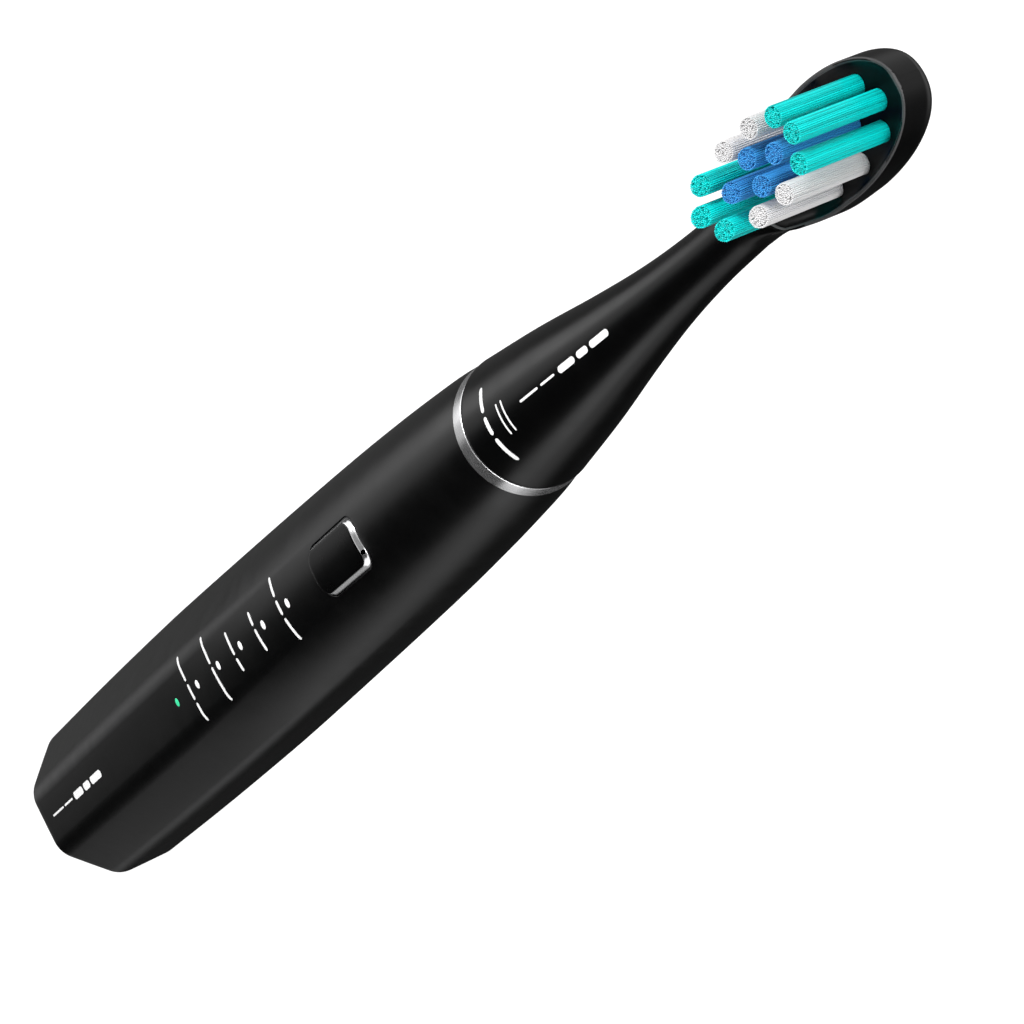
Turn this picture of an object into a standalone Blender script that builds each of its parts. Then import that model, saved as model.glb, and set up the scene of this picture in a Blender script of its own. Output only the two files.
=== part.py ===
"""Sonic electric toothbrush with its push-on brush head, standing on its base.

Run with:  blender --background --python part.py
Metres, +Z up. The handle's axis is the world Z axis, the origin is the centre
of the base, and the bristles, lights and button face -Y.
"""

import math

import bmesh
import bpy

MM = 0.001

# --- Driving dimensions, in millimetres -------------------------------------

# Handle: an octagon at the base that turns round towards the trim ring.
HANDLE_TOP = 168.4        # where the shell ends and the trim ring starts
RING_TOP = 170.2          # head end of the trim ring
HANDLE = ((0.0, 12.27), (30.0, 12.13), (60.0, 11.77), (90.0, 11.20), (118.0, 10.58),
          (136.0, 9.99), (150.0, 9.29), (160.0, 8.63), (165.0, 8.23), (168.4, 7.82))
CORNER_SHARE = 0.37       # corner radius as a share of the apothem
CORNER_STEPS = 5          # facets in each corner arc at the base
BOW_START = 60.0          # the flats begin to bow out here
BOW_END = 148.0           # the section is round from here up
BASE_EDGE = 0.35          # rounding of the bottom edge
WALL = 1.6                # shell wall
CAP_BORE = 9.6            # round opening in the base
CAP_BORE_DEPTH = 6.0

# Brush head: heights are above the trim ring.
HEAD_GAP = 0.3            # shadow gap between ring and head
HEAD_LENGTH = 80.2
NECK_END = 51.0           # slimmest point of the neck
HEAD_WIDEST = 68.6
HEAD_HALF_WIDTH = 5.28
TIP_POWER = 2.15          # how full the head's end is
FACE_Y = -2.0             # plane of the rim round the bristle face
FLOOR_Y = -1.25           # floor of the dished bristle face
NECK = ((0.0, 7.76), (12.0, 6.39), (24.0, 4.71), (34.0, 3.52), (43.0, 2.89), (51.0, 2.72))
FLANK = ((51.0, 2.72), (54.4, 2.88), (57.1, 3.36), (60.0, 4.12), (64.0, 4.98), (68.6, 5.28))
BACK = ((51.0, 2.72), (56.0, 2.90), (60.0, 3.50), (64.0, 4.10), (68.6, 4.32), (73.0, 3.78),
        (77.0, 2.85), (78.7, 2.10), (79.7, 1.25), (80.2, 0.50))
FRONT = ((51.0, 2.72), (54.0, 2.72), (57.5, 2.30), (61.0, 2.00), (70.0, 2.00), (78.8, 2.00),
         (79.7, 1.60), (80.2, 0.60))
RIM_CENTRE = 69.3         # bristle face outline: centre, and its reach each way
RIM_UP = 10.45
RIM_DOWN = 13.5
RIM_HALF = 4.95
RIM_POWER = 2.5

# Bristle tufts: row offsets from the field's centre, and the places in a row.
FIELD_Z = RING_TOP + 68.15
TUFT_RADIUS = 0.95
TUFT_ROOT = 1.1           # how far behind the axis a tuft is anchored
TUFT_TIP = 9.59           # tips in front of the axis at the middle row
TUFT_RISE = 0.98 / 64.0   # extra length per square millimetre of row offset
TUFT_SLANT = 0.33         # slope of the cut at the middle row; the root side is longer
TUFT_SLANT_STEP = -0.025  # change of that slope per millimetre towards the tip end
TUFT_ROWS = (
    (8.10, (0.0,), "teal"),
    (6.53, (-2.17, 2.17), "teal"),
    (3.77, (0.0,), "blue"),
    (2.25, (-3.09, 3.09), "white"),
    (0.0, (-1.28, 1.28), "blue"),
    (-2.25, (-3.09, 3.09), "white"),
    (-3.77, (0.0,), "blue"),
    (-6.53, (-2.17, 2.17), "teal"),
    (-8.10, (0.0,), "teal"),
)

# Controls on the front flat.
CHARGE_LIGHT_Z = 72.5
MODE_LIGHT_Z = 81.4       # first of five
MODE_LIGHT_STEP = 8.95
LIGHT_RADIUS = 0.6
BUTTON_Z = 134.3
BUTTON_WIDTH = 6.3
BUTTON_LENGTH = 13.6
BUTTON_CORNER = 2.0
BUTTON_RISE = 0.5         # top above the handle's surface, which it follows
BUTTON_BEVEL = 0.38       # bevel: how far in from the edge, and how deep
BUTTON_BEVEL_DEPTH = 0.5
BUTTON_GAP = 0.2
BUTTON_BACK = -7.25

# Inside the handle.
BOARD_BACK = -5.4
BOARD_FRONT = -6.1
BOARD_Z = (66.0, 144.0)
FRAME_FRONT = -5.1        # the frame's plates stop short of the board here
BATTERY_RADIUS = 7.0
BATTERY_Y = 1.9
BATTERY_Z = (38.0, 87.5)
COIL_POST = 5.2           # outside of the charging socket
MOTOR_RADIUS = 5.0
SHAFT_RADIUS = 1.5        # inside the motor
SPINDLE_RADIUS = 1.8      # where the brush head fits
SPINDLE_TOP = RING_TOP + 17.8

ROUND = 32                # facets of a round part that shows
SMALL_ROUND = 20          # facets of a small or inner round part


# --- Scene set-up -------------------------------------------------------------

def clear_scene():
    for obj in list(bpy.data.objects):
        bpy.data.objects.remove(obj, do_unlink=True)


def collection(name):
    group = bpy.data.collections.new(name)
    bpy.context.scene.collection.children.link(group)
    return group


def material(name, colour, roughness, metallic=0.0):
    mat = bpy.data.materials.new(name)
    mat.use_nodes = True
    shader = mat.node_tree.nodes["Principled BSDF"]
    shader.inputs["Base Color"].default_value = (*colour, 1.0)
    shader.inputs["Roughness"].default_value = roughness
    shader.inputs["Metallic"].default_value = metallic
    mat.diffuse_color = (*colour, 1.0)
    return mat


clear_scene()
PARTS = collection("Toothbrush")
CUTTERS = collection("Cutters")

BLACK_BODY = ((0.012, 0.012, 0.013), 0.45, 0.0)
BLACK_HEAD = ((0.010, 0.010, 0.011), 0.38, 0.0)
BLACK_GLOSS = ((0.008, 0.008, 0.009), 0.2, 0.0)
INNER_PLASTIC = ((0.62, 0.63, 0.62), 0.5, 0.0)
RUBBER = ((0.03, 0.03, 0.032), 0.8, 0.0)
GREY_RUBBER = ((0.30, 0.31, 0.32), 0.7, 0.0)
CHROME = ((0.80, 0.80, 0.81), 0.18, 1.0)
STEEL = ((0.60, 0.60, 0.61), 0.3, 1.0)
MAGNET = ((0.38, 0.38, 0.40), 0.25, 1.0)
NICKEL = ((0.65, 0.62, 0.55), 0.35, 1.0)
BRONZE = ((0.50, 0.30, 0.12), 0.4, 1.0)
COPPER = ((0.72, 0.28, 0.12), 0.35, 1.0)
BATTERY_WRAP = ((0.05, 0.16, 0.32), 0.35, 0.0)
BOARD_GREEN = ((0.02, 0.14, 0.06), 0.4, 0.0)
CHIP = ((0.85, 0.83, 0.70), 0.4, 0.0)
WHITE_LIGHT = ((0.92, 0.92, 0.92), 0.15, 0.0)
GREEN_LIGHT = ((0.05, 0.75, 0.38), 0.15, 0.0)
RED_WIRE = ((0.45, 0.02, 0.02), 0.45, 0.0)
YELLOW_WIRE = ((0.60, 0.42, 0.03), 0.45, 0.0)
BRISTLE = {
    "teal": ((0.01, 0.72, 0.62), 0.45, 0.0),
    "blue": ((0.07, 0.27, 0.80), 0.45, 0.0),
    "white": ((0.82, 0.82, 0.82), 0.45, 0.0),
}


def pivot(name, at=(0.0, 0.0, 0.0)):
    """An empty that marks a moving group's joint axis."""
    empty = bpy.data.objects.new(name, None)
    empty.empty_display_size = 0.01
    empty.location = [c * MM for c in at]
    PARTS.objects.link(empty)
    return empty


# --- Shapes ---------------------------------------------------------------------

def finish(name, bm, look=None, at=(0.0, 0.0, 0.0), parent=None, turn=(0.0, 0.0, 0.0)):
    """Turn a bmesh in millimetres about `at` into an object; no look makes it a cutter."""
    bmesh.ops.scale(bm, vec=(MM, MM, MM), verts=bm.verts)
    mesh = bpy.data.meshes.new(name)
    bm.to_mesh(mesh)
    bm.free()
    obj = bpy.data.objects.new(name, mesh)
    group = PARTS if look else CUTTERS
    group.objects.link(obj)
    offset = [c * MM for c in at]
    if parent:
        offset = [a - b for a, b in zip(offset, parent.location)]
        obj.parent = parent
    obj.location = offset
    obj.rotation_euler = turn
    if look:
        mesh.materials.append(material(name, *look))
    else:
        obj.hide_render = True
        obj.display_type = "WIRE"
    return obj


def lathe(name, outline, look=None, steps=ROUND, solid=True, **placing):
    """Spin an (r, z) outline about Z, outer side running downwards.

    A solid's outline starts and ends on the axis; a ring's closes on itself.
    """
    bm = bmesh.new()
    verts = [bm.verts.new((r, 0.0, z)) for r, z in outline]
    ends = verts[1:] if solid else verts[1:] + verts[:1]
    for a, b in zip(verts, ends):
        bm.edges.new((a, b))
    obj = finish(name, bm, look, **placing)
    spin = obj.modifiers.new("Spin", "SCREW")
    spin.axis = "Z"
    spin.angle = 2.0 * math.pi
    spin.screw_offset = 0.0
    spin.steps = steps
    spin.render_steps = steps
    spin.use_merge_vertices = True
    spin.merge_threshold = 1e-6
    return obj


def ring(name, inner, outer, bottom, top, look=None, steps=SMALL_ROUND, **placing):
    outline = ((outer, top), (outer, bottom), (inner, bottom), (inner, top))
    return lathe(name, outline, look, steps, solid=False, **placing)


def rod(name, radius, bottom, top, look=None, steps=SMALL_ROUND, **placing):
    bm = bmesh.new()
    bmesh.ops.create_cone(bm, cap_ends=True, segments=steps, radius1=radius,
                          radius2=radius, depth=top - bottom)
    bmesh.ops.translate(bm, vec=(0.0, 0.0, 0.5 * (top + bottom)), verts=bm.verts)
    return finish(name, bm, look, **placing)


def block_mesh(x, y, z):
    """A box between the given (low, high) limits."""
    bm = bmesh.new()
    bmesh.ops.create_cube(bm, size=1.0)
    bmesh.ops.scale(bm, vec=(x[1] - x[0], y[1] - y[0], z[1] - z[0]), verts=bm.verts)
    bmesh.ops.translate(bm, vec=(0.5 * (x[0] + x[1]), 0.5 * (y[0] + y[1]),
                                 0.5 * (z[0] + z[1])), verts=bm.verts)
    return bm


def block(name, x, y, z, look=None, **placing):
    return finish(name, block_mesh(x, y, z), look, **placing)


def pad_mesh(width, length, corner, back, front, steps=5):
    """A rounded rectangle in XZ, centred on its place, between two depths in Y."""
    bm = block_mesh((-0.5 * width, 0.5 * width), (front, back), (-0.5 * length, 0.5 * length))
    edges = [e for e in bm.edges if abs(e.verts[0].co.y - e.verts[1].co.y) > 1e-6]
    bmesh.ops.bevel(bm, geom=edges, offset=corner, offset_type="OFFSET", segments=steps,
                    profile=0.5, affect="EDGES")
    return bm


def loft(name, sections, look=None, **placing):
    """Skin equal-count sections, each anticlockwise from above, bottom first."""
    bm = bmesh.new()
    rows = [[bm.verts.new(p) for p in section] for section in sections]
    for low, high in zip(rows, rows[1:]):
        for i in range(len(low)):
            j = (i + 1) % len(low)
            bm.faces.new((low[i], low[j], high[j], high[i]))
    bm.faces.new(list(reversed(rows[0])))
    bm.faces.new(rows[-1])
    return finish(name, bm, look, **placing)


def boolean(obj, other, operation="DIFFERENCE"):
    mod = obj.modifiers.new(operation.title(), "BOOLEAN")
    mod.operation = operation
    mod.solver = "EXACT"
    mod.object = other


def shade(obj, angle=35.0):
    """Smooth shading with hard edges kept."""
    for poly in obj.data.polygons:
        poly.use_smooth = True
    obj.data.set_sharp_from_angle(angle=math.radians(angle))


def through(stations, t):
    """Smooth curve through (t, value) stations."""
    if t <= stations[0][0]:
        return stations[0][1]
    if t >= stations[-1][0]:
        return stations[-1][1]
    k = max(i for i in range(len(stations) - 1) if stations[i][0] <= t)

    def slope(i):
        low, high = max(i - 1, 0), min(i + 1, len(stations) - 1)
        rise = stations[high][1] - stations[low][1]
        return rise / (stations[high][0] - stations[low][0])

    (t0, v0), (t1, v1) = stations[k], stations[k + 1]
    run = t1 - t0
    s = (t - t0) / run
    return ((2 * s**3 - 3 * s**2 + 1) * v0 + (s**3 - 2 * s**2 + s) * run * slope(k)
            + (3 * s**2 - 2 * s**3) * v1 + (s**3 - s**2) * run * slope(k + 1))


# --- Handle shell -----------------------------------------------------------------

def handle_apothem(z):
    """Axis to front flat: a slow taper that closes in faster near the ring."""
    return through(HANDLE, z)


def side_shape(z, inset=0.0):
    """One side of the section: apothem, corner radius, bow radius and half turn."""
    t = min(max((z - BOW_START) / (BOW_END - BOW_START), 0.0), 1.0)
    bow = max(math.pi / 8.0 * t * t * (3.0 - 2.0 * t), 0.009)
    apothem = handle_apothem(z) - inset
    corner = CORNER_SHARE * handle_apothem(z) - inset
    slope = math.tan(math.pi / 8.0)
    radius = ((slope * apothem + corner * (math.sin(bow) - slope * math.cos(bow)))
              / (math.sin(bow) + slope * (1.0 - math.cos(bow))))
    return apothem, corner, radius, bow


def section_point(shape, side, turn, z):
    """Where the outline has turned by `turn` from the middle of the given side."""
    apothem, corner, radius, bow = shape
    if turn > 0.25 * math.pi - bow:
        side, turn = side + 0.25 * math.pi, turn - 0.25 * math.pi
    out, along, curve = apothem - radius, 0.0, radius
    if turn > bow:
        out += (radius - corner) * math.cos(bow)
        along += (radius - corner) * math.sin(bow)
        curve = corner
    out += curve * math.cos(turn)
    along += curve * math.sin(turn)
    return (out * math.sin(side) + along * math.cos(side),
            along * math.sin(side) - out * math.cos(side), z)


def handle_section(z, inset=0.0):
    """Octagon with rounded corners; its sides bow out until it is a circle."""
    shape = side_shape(z, inset)
    half = min(shape[3], math.pi / 48.0)
    step = (0.25 * math.pi - 2.0 * half) / CORNER_STEPS
    turns = [-half] + [half + step * i for i in range(CORNER_STEPS)]
    return [section_point(shape, 0.25 * math.pi * k, turn, z) for k in range(8) for turn in turns]


def handle_front(x, z):
    """Depth of the handle's surface near the middle of its front."""
    apothem, corner, radius, bow = side_shape(z)
    if abs(x) <= radius * math.sin(bow):
        return radius - apothem - math.sqrt(radius**2 - x**2)
    centre = (radius - corner) * math.sin(bow)
    out = apothem - radius + (radius - corner) * math.cos(bow)
    return -out - math.sqrt(corner**2 - (abs(x) - centre)**2)


def handle_sections(bottom, top, count, inset=0.0):
    """Sections at even steps, packed closer towards the top."""
    heights = [bottom + (top - bottom) * math.sin(0.5 * math.pi * i / count)
               for i in range(count + 1)]
    return [handle_section(z, inset) for z in heights]


def rounded_base_sections():
    """The bottom edge: a quarter round that meets the flats."""
    sections = []
    for i in range(4):
        angle = 0.5 * math.pi * i / 4.0
        inset = BASE_EDGE * (1.0 - math.sin(angle))
        z = BASE_EDGE * (1.0 - math.cos(angle))
        sections.append(handle_section(z, inset))
    return sections


def light_heights():
    return [CHARGE_LIGHT_Z] + [MODE_LIGHT_Z + i * MODE_LIGHT_STEP for i in range(5)]


def build_handle_shell():
    sections = rounded_base_sections() + handle_sections(BASE_EDGE, HANDLE_TOP, 18)
    shell = loft("handle_shell", sections, BLACK_BODY)

    cavity = handle_sections(CAP_BORE_DEPTH, HANDLE_TOP + 0.01, 12, WALL)
    above = [(x, y, z + 2.0) for x, y, z in cavity[-1]]
    boolean(shell, loft("cut_cavity", cavity + [above]))
    boolean(shell, rod("cut_base_bore", CAP_BORE, -1.0, CAP_BORE_DEPTH + 1.0, steps=ROUND))

    opening = pad_mesh(BUTTON_WIDTH + 2 * BUTTON_GAP, BUTTON_LENGTH + 2 * BUTTON_GAP,
                       BUTTON_CORNER + BUTTON_GAP, -6.5, -14.0)
    boolean(shell, finish("cut_button", opening, at=(0.0, 0.0, BUTTON_Z)))

    for i, z in enumerate(light_heights()):
        boolean(shell, rod("cut_light_%d" % i, LIGHT_RADIUS + 0.03, 6.0, 14.0, steps=12,
                           at=(0.0, 0.0, z), turn=(0.5 * math.pi, 0.0, 0.0)))
    shade(shell)


def build_trim_ring():
    low, high = HANDLE_TOP + 0.02, RING_TOP
    outline = ((7.50, high), (7.66, high - 0.06), (7.72, high - 0.22), (7.80, low),
               (6.60, low), (6.60, high))
    shade(lathe("trim_ring", outline, CHROME, 48, solid=False))


# --- Base and charging parts --------------------------------------------------------

def build_base():
    """The base plug holds a blind socket that drops over a charger's post."""
    outline = ((0.0, 10.7), (COIL_POST - 0.4, 10.7), (COIL_POST, 10.3), (COIL_POST, 1.8),
               (7.7, 1.8), (7.7, 5.5), (9.3, 5.5), (9.3, 4.6), (8.5, 4.6), (8.5, 3.2),
               (9.3, 3.2), (9.3, 0.3), (9.0, 0.0), (4.6, 0.0), (4.2, 0.4), (4.2, 9.5), (0.0, 9.5))
    shade(lathe("base_cap", outline, BLACK_BODY, ROUND))

    seal = [(9.03 + 0.48 * math.cos(a), 3.9 + 0.48 * math.sin(a))
            for a in (-0.25 * math.pi * i for i in range(8))]
    shade(lathe("base_seal", seal, RUBBER, ROUND, solid=False), 80.0)

    ring("charging_coil", COIL_POST + 0.25, 7.3, 2.2, 9.8, COPPER, steps=24)


def build_wire(name, points, look, radius=0.35):
    """A round insulated wire through hand-placed points, as a closed mesh."""
    curve = bpy.data.curves.new(name, "CURVE")
    curve.dimensions = "3D"
    curve.bevel_depth = radius * MM
    curve.bevel_resolution = 2
    curve.use_fill_caps = True
    spline = curve.splines.new("POLY")
    spline.points.add(len(points) - 1)
    for point, place in zip(spline.points, points):
        point.co = (*[c * MM for c in place], 1.0)
    wire = bpy.data.objects.new(name, curve)
    PARTS.objects.link(wire)
    curve.materials.append(material(name, *look))


def bend(start, end, count=6):
    """Points along an S from start to end, running along Z at both."""
    points = []
    for i in range(count + 1):
        t = i / count
        ease = t * t * (3.0 - 2.0 * t)
        points.append((start[0] + (end[0] - start[0]) * ease,
                       start[1] + (end[1] - start[1]) * ease,
                       start[2] + (end[2] - start[2]) * t))
    return points


def build_wires():
    coil_run = bend((-3.4, -5.7, 10.0), (-3.4, -7.4, 18.0)) + bend(
        (-3.4, -7.4, 56.0), (-3.4, -5.75, 65.5))
    build_wire("coil_lead", coil_run, YELLOW_WIRE)
    build_wire("motor_lead", bend((2.0, -4.9, 104.0), (2.0, -3.6, 112.0))
               + [(2.0, -3.6, 117.5)], RED_WIRE)


# --- Inner frame, battery and board -----------------------------------------------

def build_inner_frame():
    """Two rails joined by four cross plates, all stopping short of the board."""
    frame = block("inner_frame", (7.3, 8.3), (-3.0, 3.0), (12.0, 117.5), INNER_PLASTIC)
    boolean(frame, block("join_rail", (-8.3, -7.3), (-3.0, 3.0), (12.0, 117.5)), "UNION")
    plates = ((12.0, 14.0, 9.6), (34.5, 37.5, 9.6), (88.0, 91.0, 8.9), (114.0, 117.5, 8.4))
    for i, (low, high, radius) in enumerate(plates):
        boolean(frame, rod("join_plate_%d" % i, radius, low, high, steps=24), "UNION")
    boolean(frame, block("cut_board_side", (-12.0, 12.0), (-12.0, FRAME_FRONT), (5.0, 125.0)))
    boolean(frame, rod("cut_lead_hole", 0.8, 112.0, 119.0, steps=12, at=(2.0, -3.6, 0.0)))


def build_battery():
    low, high = BATTERY_Z
    outline = ((0.0, high), (2.6, high), (2.6, high - 0.7), (BATTERY_RADIUS - 0.5, high - 0.7),
               (BATTERY_RADIUS, high - 1.2), (BATTERY_RADIUS, low + 0.5),
               (BATTERY_RADIUS - 0.5, low), (0.0, low))
    shade(lathe("battery_cell", outline, BATTERY_WRAP, 28, at=(0.0, BATTERY_Y, 0.0)))

    lower = block("battery_tab_lower", (-2.0, 2.0), (-5.65, 4.0), (low - 0.32, low - 0.1), NICKEL)
    boolean(lower, block("join_tab_lower", (-2.0, 2.0), (-5.65, -5.45),
                         (low - 0.32, BOARD_Z[0] - 0.2)), "UNION")
    upper = block("battery_tab_upper", (-2.0, 2.0), (-5.34, 3.0), (high + 0.1, high + 0.3), NICKEL)
    boolean(upper, block("join_tab_upper", (-2.0, 2.0), (-5.34, -5.16),
                         (high + 0.1, high + 6.0)), "UNION")


def build_board():
    board = block("main_board", (-5.6, 5.6), (BOARD_FRONT, BOARD_BACK), (BOARD_Z[0], 119.0),
                  BOARD_GREEN)
    boolean(board, block("join_board", (-3.6, 3.6), (BOARD_FRONT, BOARD_BACK),
                         (118.0, BOARD_Z[1])), "UNION")

    names = ["charge_led"] + ["mode_led_%d" % (i + 1) for i in range(5)]
    for name, z in zip(names, light_heights()):
        block(name, (-0.8, 0.8), (BOARD_FRONT - 0.65, BOARD_FRONT - 0.02), (z - 0.5, z + 0.5), CHIP)

    names = ["charge_window"] + ["mode_window_%d" % (i + 1) for i in range(5)]
    for name, z in zip(names, light_heights()):
        front = handle_apothem(z) + 0.02
        shoulder = handle_apothem(z) - WALL - 0.35
        outline = ((0.0, front), (LIGHT_RADIUS - 0.1, front), (LIGHT_RADIUS, front - 0.1),
                   (LIGHT_RADIUS, shoulder), (1.1, shoulder), (1.1, shoulder - 0.5),
                   (LIGHT_RADIUS, shoulder - 0.5), (LIGHT_RADIUS, -BOARD_FRONT + 0.75),
                   (0.0, -BOARD_FRONT + 0.75))
        look = GREEN_LIGHT if name == "charge_window" else WHITE_LIGHT
        shade(lathe(name, outline, look, 12, at=(0.0, 0.0, z), turn=(0.5 * math.pi, 0.0, 0.0)))


# --- Power button and its switch -----------------------------------------------------

def pad_ring(inset, depth, share=1.0, flat=False):
    """The button's outline drawn in by an inset, in place about its centre.

    Depth is measured back from the bowed top, or is Y itself on a flat ring.
    """
    points = []
    for k, (side, end) in enumerate(((1, 1), (-1, 1), (-1, -1), (1, -1))):
        for step in range(6):
            angle = 0.5 * math.pi * (k + step / 5.0)
            x = side * (0.5 * BUTTON_WIDTH - BUTTON_CORNER)
            z = end * (0.5 * BUTTON_LENGTH - BUTTON_CORNER)
            x = share * (x + (BUTTON_CORNER - inset) * math.cos(angle))
            z = share * (z + (BUTTON_CORNER - inset) * math.sin(angle))
            top = 0.0 if flat else handle_front(x, BUTTON_Z + z) - BUTTON_RISE
            points.append((x, top + depth, z))
    return points


def build_button():
    axis = pivot("button_pivot", (0.0, 0.0, BUTTON_Z))
    place = {"at": (0.0, 0.0, BUTTON_Z), "parent": axis}
    level = -handle_apothem(BUTTON_Z)

    stem = [(0.0, BUTTON_BACK), (0.0, level + 1.4), (0.5, level + 1.4), (0.5, level + 0.9),
            (0.0, level + 0.9)]
    rings = [pad_ring(inset, depth, flat=True) for inset, depth in stem]
    rings += [pad_ring(0.0, BUTTON_BEVEL_DEPTH), pad_ring(BUTTON_BEVEL, 0.0)]
    trim = BUTTON_BEVEL + 0.02
    rings += [pad_ring(trim, 0.0), pad_ring(trim, level + 0.45, flat=True)]
    body = loft("button_body", rings, CHROME, **place)
    for end in (-1.0, 1.0):
        tab = block("join_tab_%d" % (end > 0), (-1.5, 1.5), (BUTTON_BACK - 0.35, -6.95),
                    sorted((end * 5.2, end * 7.7)), at=(0.0, 0.0, BUTTON_Z))
        boolean(body, tab, "UNION")
    shade(body, 30.0)

    trim += 0.02
    rings = [pad_ring(trim, level + 0.43, flat=True), pad_ring(trim, -0.02)]
    rings += [pad_ring(trim, -0.02, share) for share in (0.8, 0.5, 0.2)]
    shade(loft("button_inlay", rings, BLACK_GLOSS, **place), 30.0)

    seal = finish("button_seal", pad_mesh(BUTTON_WIDTH + 0.3, BUTTON_LENGTH + 0.3,
                                          BUTTON_CORNER + 0.15, level + 1.35, level + 0.95),
                  GREY_RUBBER, **place)
    hole = finish("cut_seal", pad_mesh(BUTTON_WIDTH - 0.9, BUTTON_LENGTH - 0.9,
                                       BUTTON_CORNER - 0.45, level + 2.0, level),
                  at=(0.0, 0.0, BUTTON_Z))
    boolean(seal, hole)


def build_switch():
    """A tact switch on the board; its plunger follows the button."""
    body = block("tact_switch", (-1.6, 1.6), (BOARD_FRONT - 0.8, BOARD_FRONT - 0.02),
                 (BUTTON_Z - 1.6, BUTTON_Z + 1.6), STEEL)
    turn = (0.5 * math.pi, 0.0, 0.0)
    boolean(body, rod("cut_switch", 0.95, -BOARD_FRONT + 0.15, -BOARD_FRONT + 2.0, steps=16,
                      at=(0.0, 0.0, BUTTON_Z), turn=turn))
    axis = pivot("plunger_pivot", (0.0, 0.0, BUTTON_Z))
    rod("switch_plunger", 0.7, -BOARD_FRONT + 0.55, -BUTTON_BACK - 0.05, BLACK_GLOSS, 16,
        at=(0.0, 0.0, BUTTON_Z), parent=axis, turn=turn)


# --- Motor, shaft and nose ------------------------------------------------------------

def build_motor():
    ring("motor_can", MOTOR_RADIUS - 0.4, MOTOR_RADIUS, 119.5, 150.5, STEEL, steps=24)
    rear = ((MOTOR_RADIUS, 119.4), (MOTOR_RADIUS, 117.75), (2.5, 117.75), (2.5, 119.4))
    lathe("motor_rear_cap", rear, INNER_PLASTIC, 24, solid=False)
    front = ((MOTOR_RADIUS, 153.0), (MOTOR_RADIUS, 150.6), (2.5, 150.6), (2.5, 153.0))
    lathe("motor_front_cap", front, INNER_PLASTIC, 24, solid=False)
    ring("rear_bearing", SHAFT_RADIUS + 0.2, 2.45, 117.8, 121.0, BRONZE)
    ring("front_bearing", SHAFT_RADIUS + 0.2, 2.45, 149.0, 152.9, BRONZE)

    core = ring("stator_core", 3.85, 4.5, 123.5, 146.5, STEEL, steps=24)
    for side in (-1.0, 1.0):
        pole = block("join_pole_%d" % (side > 0), sorted((side * 2.95, side * 4.1)),
                     (-1.0, 1.0), (126.0, 144.0))
        boolean(core, pole, "UNION")
    for side, name in ((-1.0, "stator_coil_left"), (1.0, "stator_coil_right")):
        coil = block(name, sorted((side * 2.95, side * 3.3)), (-1.85, 1.85), (124.8, 145.2), COPPER)
        boolean(coil, block("cut_" + name, sorted((side * 2.5, side * 3.8)), (-1.08, 1.08),
                            (125.9, 144.1)))


def build_shaft():
    """The shaft swings a few degrees each way about Z and carries the magnet."""
    axis = pivot("shaft_pivot")
    outline = ((0.0, SPINDLE_TOP), (SPINDLE_RADIUS - 0.4, SPINDLE_TOP),
               (SPINDLE_RADIUS, SPINDLE_TOP - 0.6), (SPINDLE_RADIUS, 155.0),
               (SHAFT_RADIUS, 154.6), (SHAFT_RADIUS, 118.6), (0.0, 118.6))
    shaft = lathe("drive_shaft", outline, STEEL, 28, parent=axis)
    boolean(shaft, block("cut_flat", (-3.0, 3.0), (-4.0, -1.15),
                         (SPINDLE_TOP - 11.0, SPINDLE_TOP + 1.0)))
    shade(shaft)
    ring("rotor_magnet", SHAFT_RADIUS + 0.03, 2.6, 126.5, 143.5, MAGNET, parent=axis)


def build_nose():
    """The plug in the top of the shell, and the boot that keeps water out."""
    outline = ((6.4, 169.0), (6.4, HANDLE_TOP + 0.05), (5.9, HANDLE_TOP - 0.05), (5.9, 146.5),
               (5.2, 146.5), (5.2, 158.0), (2.4, 158.0), (2.4, 167.9), (4.5, 167.9), (4.5, 169.0))
    shade(lathe("shaft_housing", outline, BLACK_BODY, ROUND, solid=False))
    boot = ((2.6, 171.2), (3.0, 170.4), (3.4, 169.5), (4.35, 168.9), (4.35, 168.0),
            (2.15, 168.0), (2.15, 171.0))
    shade(lathe("shaft_seal", boot, GREY_RUBBER, 28, solid=False))


# --- Brush head -----------------------------------------------------------------------

def half_width(h):
    """Half the head's width at a height above the ring."""
    if h <= NECK_END:
        return through(NECK, h)
    if h <= HEAD_WIDEST:
        return through(FLANK, h)
    reach = (h - HEAD_WIDEST) / (HEAD_LENGTH - HEAD_WIDEST)
    return HEAD_HALF_WIDTH * max(1.0 - reach**TIP_POWER, 0.0) ** (1.0 / TIP_POWER)


def head_section(h, count=40):
    """Round in the neck; on the head, a flat front on a deep rounded back."""
    wide = half_width(h)
    back = through(BACK, h) if h > NECK_END else wide
    front = through(FRONT, h) if h > NECK_END else wide
    blend = min(max((h - NECK_END) / 9.0, 0.0), 1.0)
    power = 2.0 + 2.6 * blend * blend * (3.0 - 2.0 * blend)
    middle = 0.4 * blend
    points = []
    for i in range(count):
        angle = 2.0 * math.pi * (i + 0.5) / count
        across, along = math.sin(angle), -math.cos(angle)
        if along > 0.0:
            points.append((wide * across, middle + (back - middle) * along, RING_TOP + h))
        else:
            size = (abs(across)**power + abs(along)**power) ** (-1.0 / power)
            points.append((wide * across * size, middle + (front + middle) * along * size,
                           RING_TOP + h))
    return points


def head_heights():
    neck = [HEAD_GAP, 1.2] + [4.0 * i for i in range(1, 13)]
    shoulder = [NECK_END + 1.6 * i for i in range(0, 11)]
    tip = [HEAD_WIDEST + (HEAD_LENGTH - HEAD_WIDEST) * math.sin(0.5 * math.pi * i / 12.0)
           for i in range(1, 12)]
    return neck + shoulder + tip + [HEAD_LENGTH - 0.01]


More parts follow.
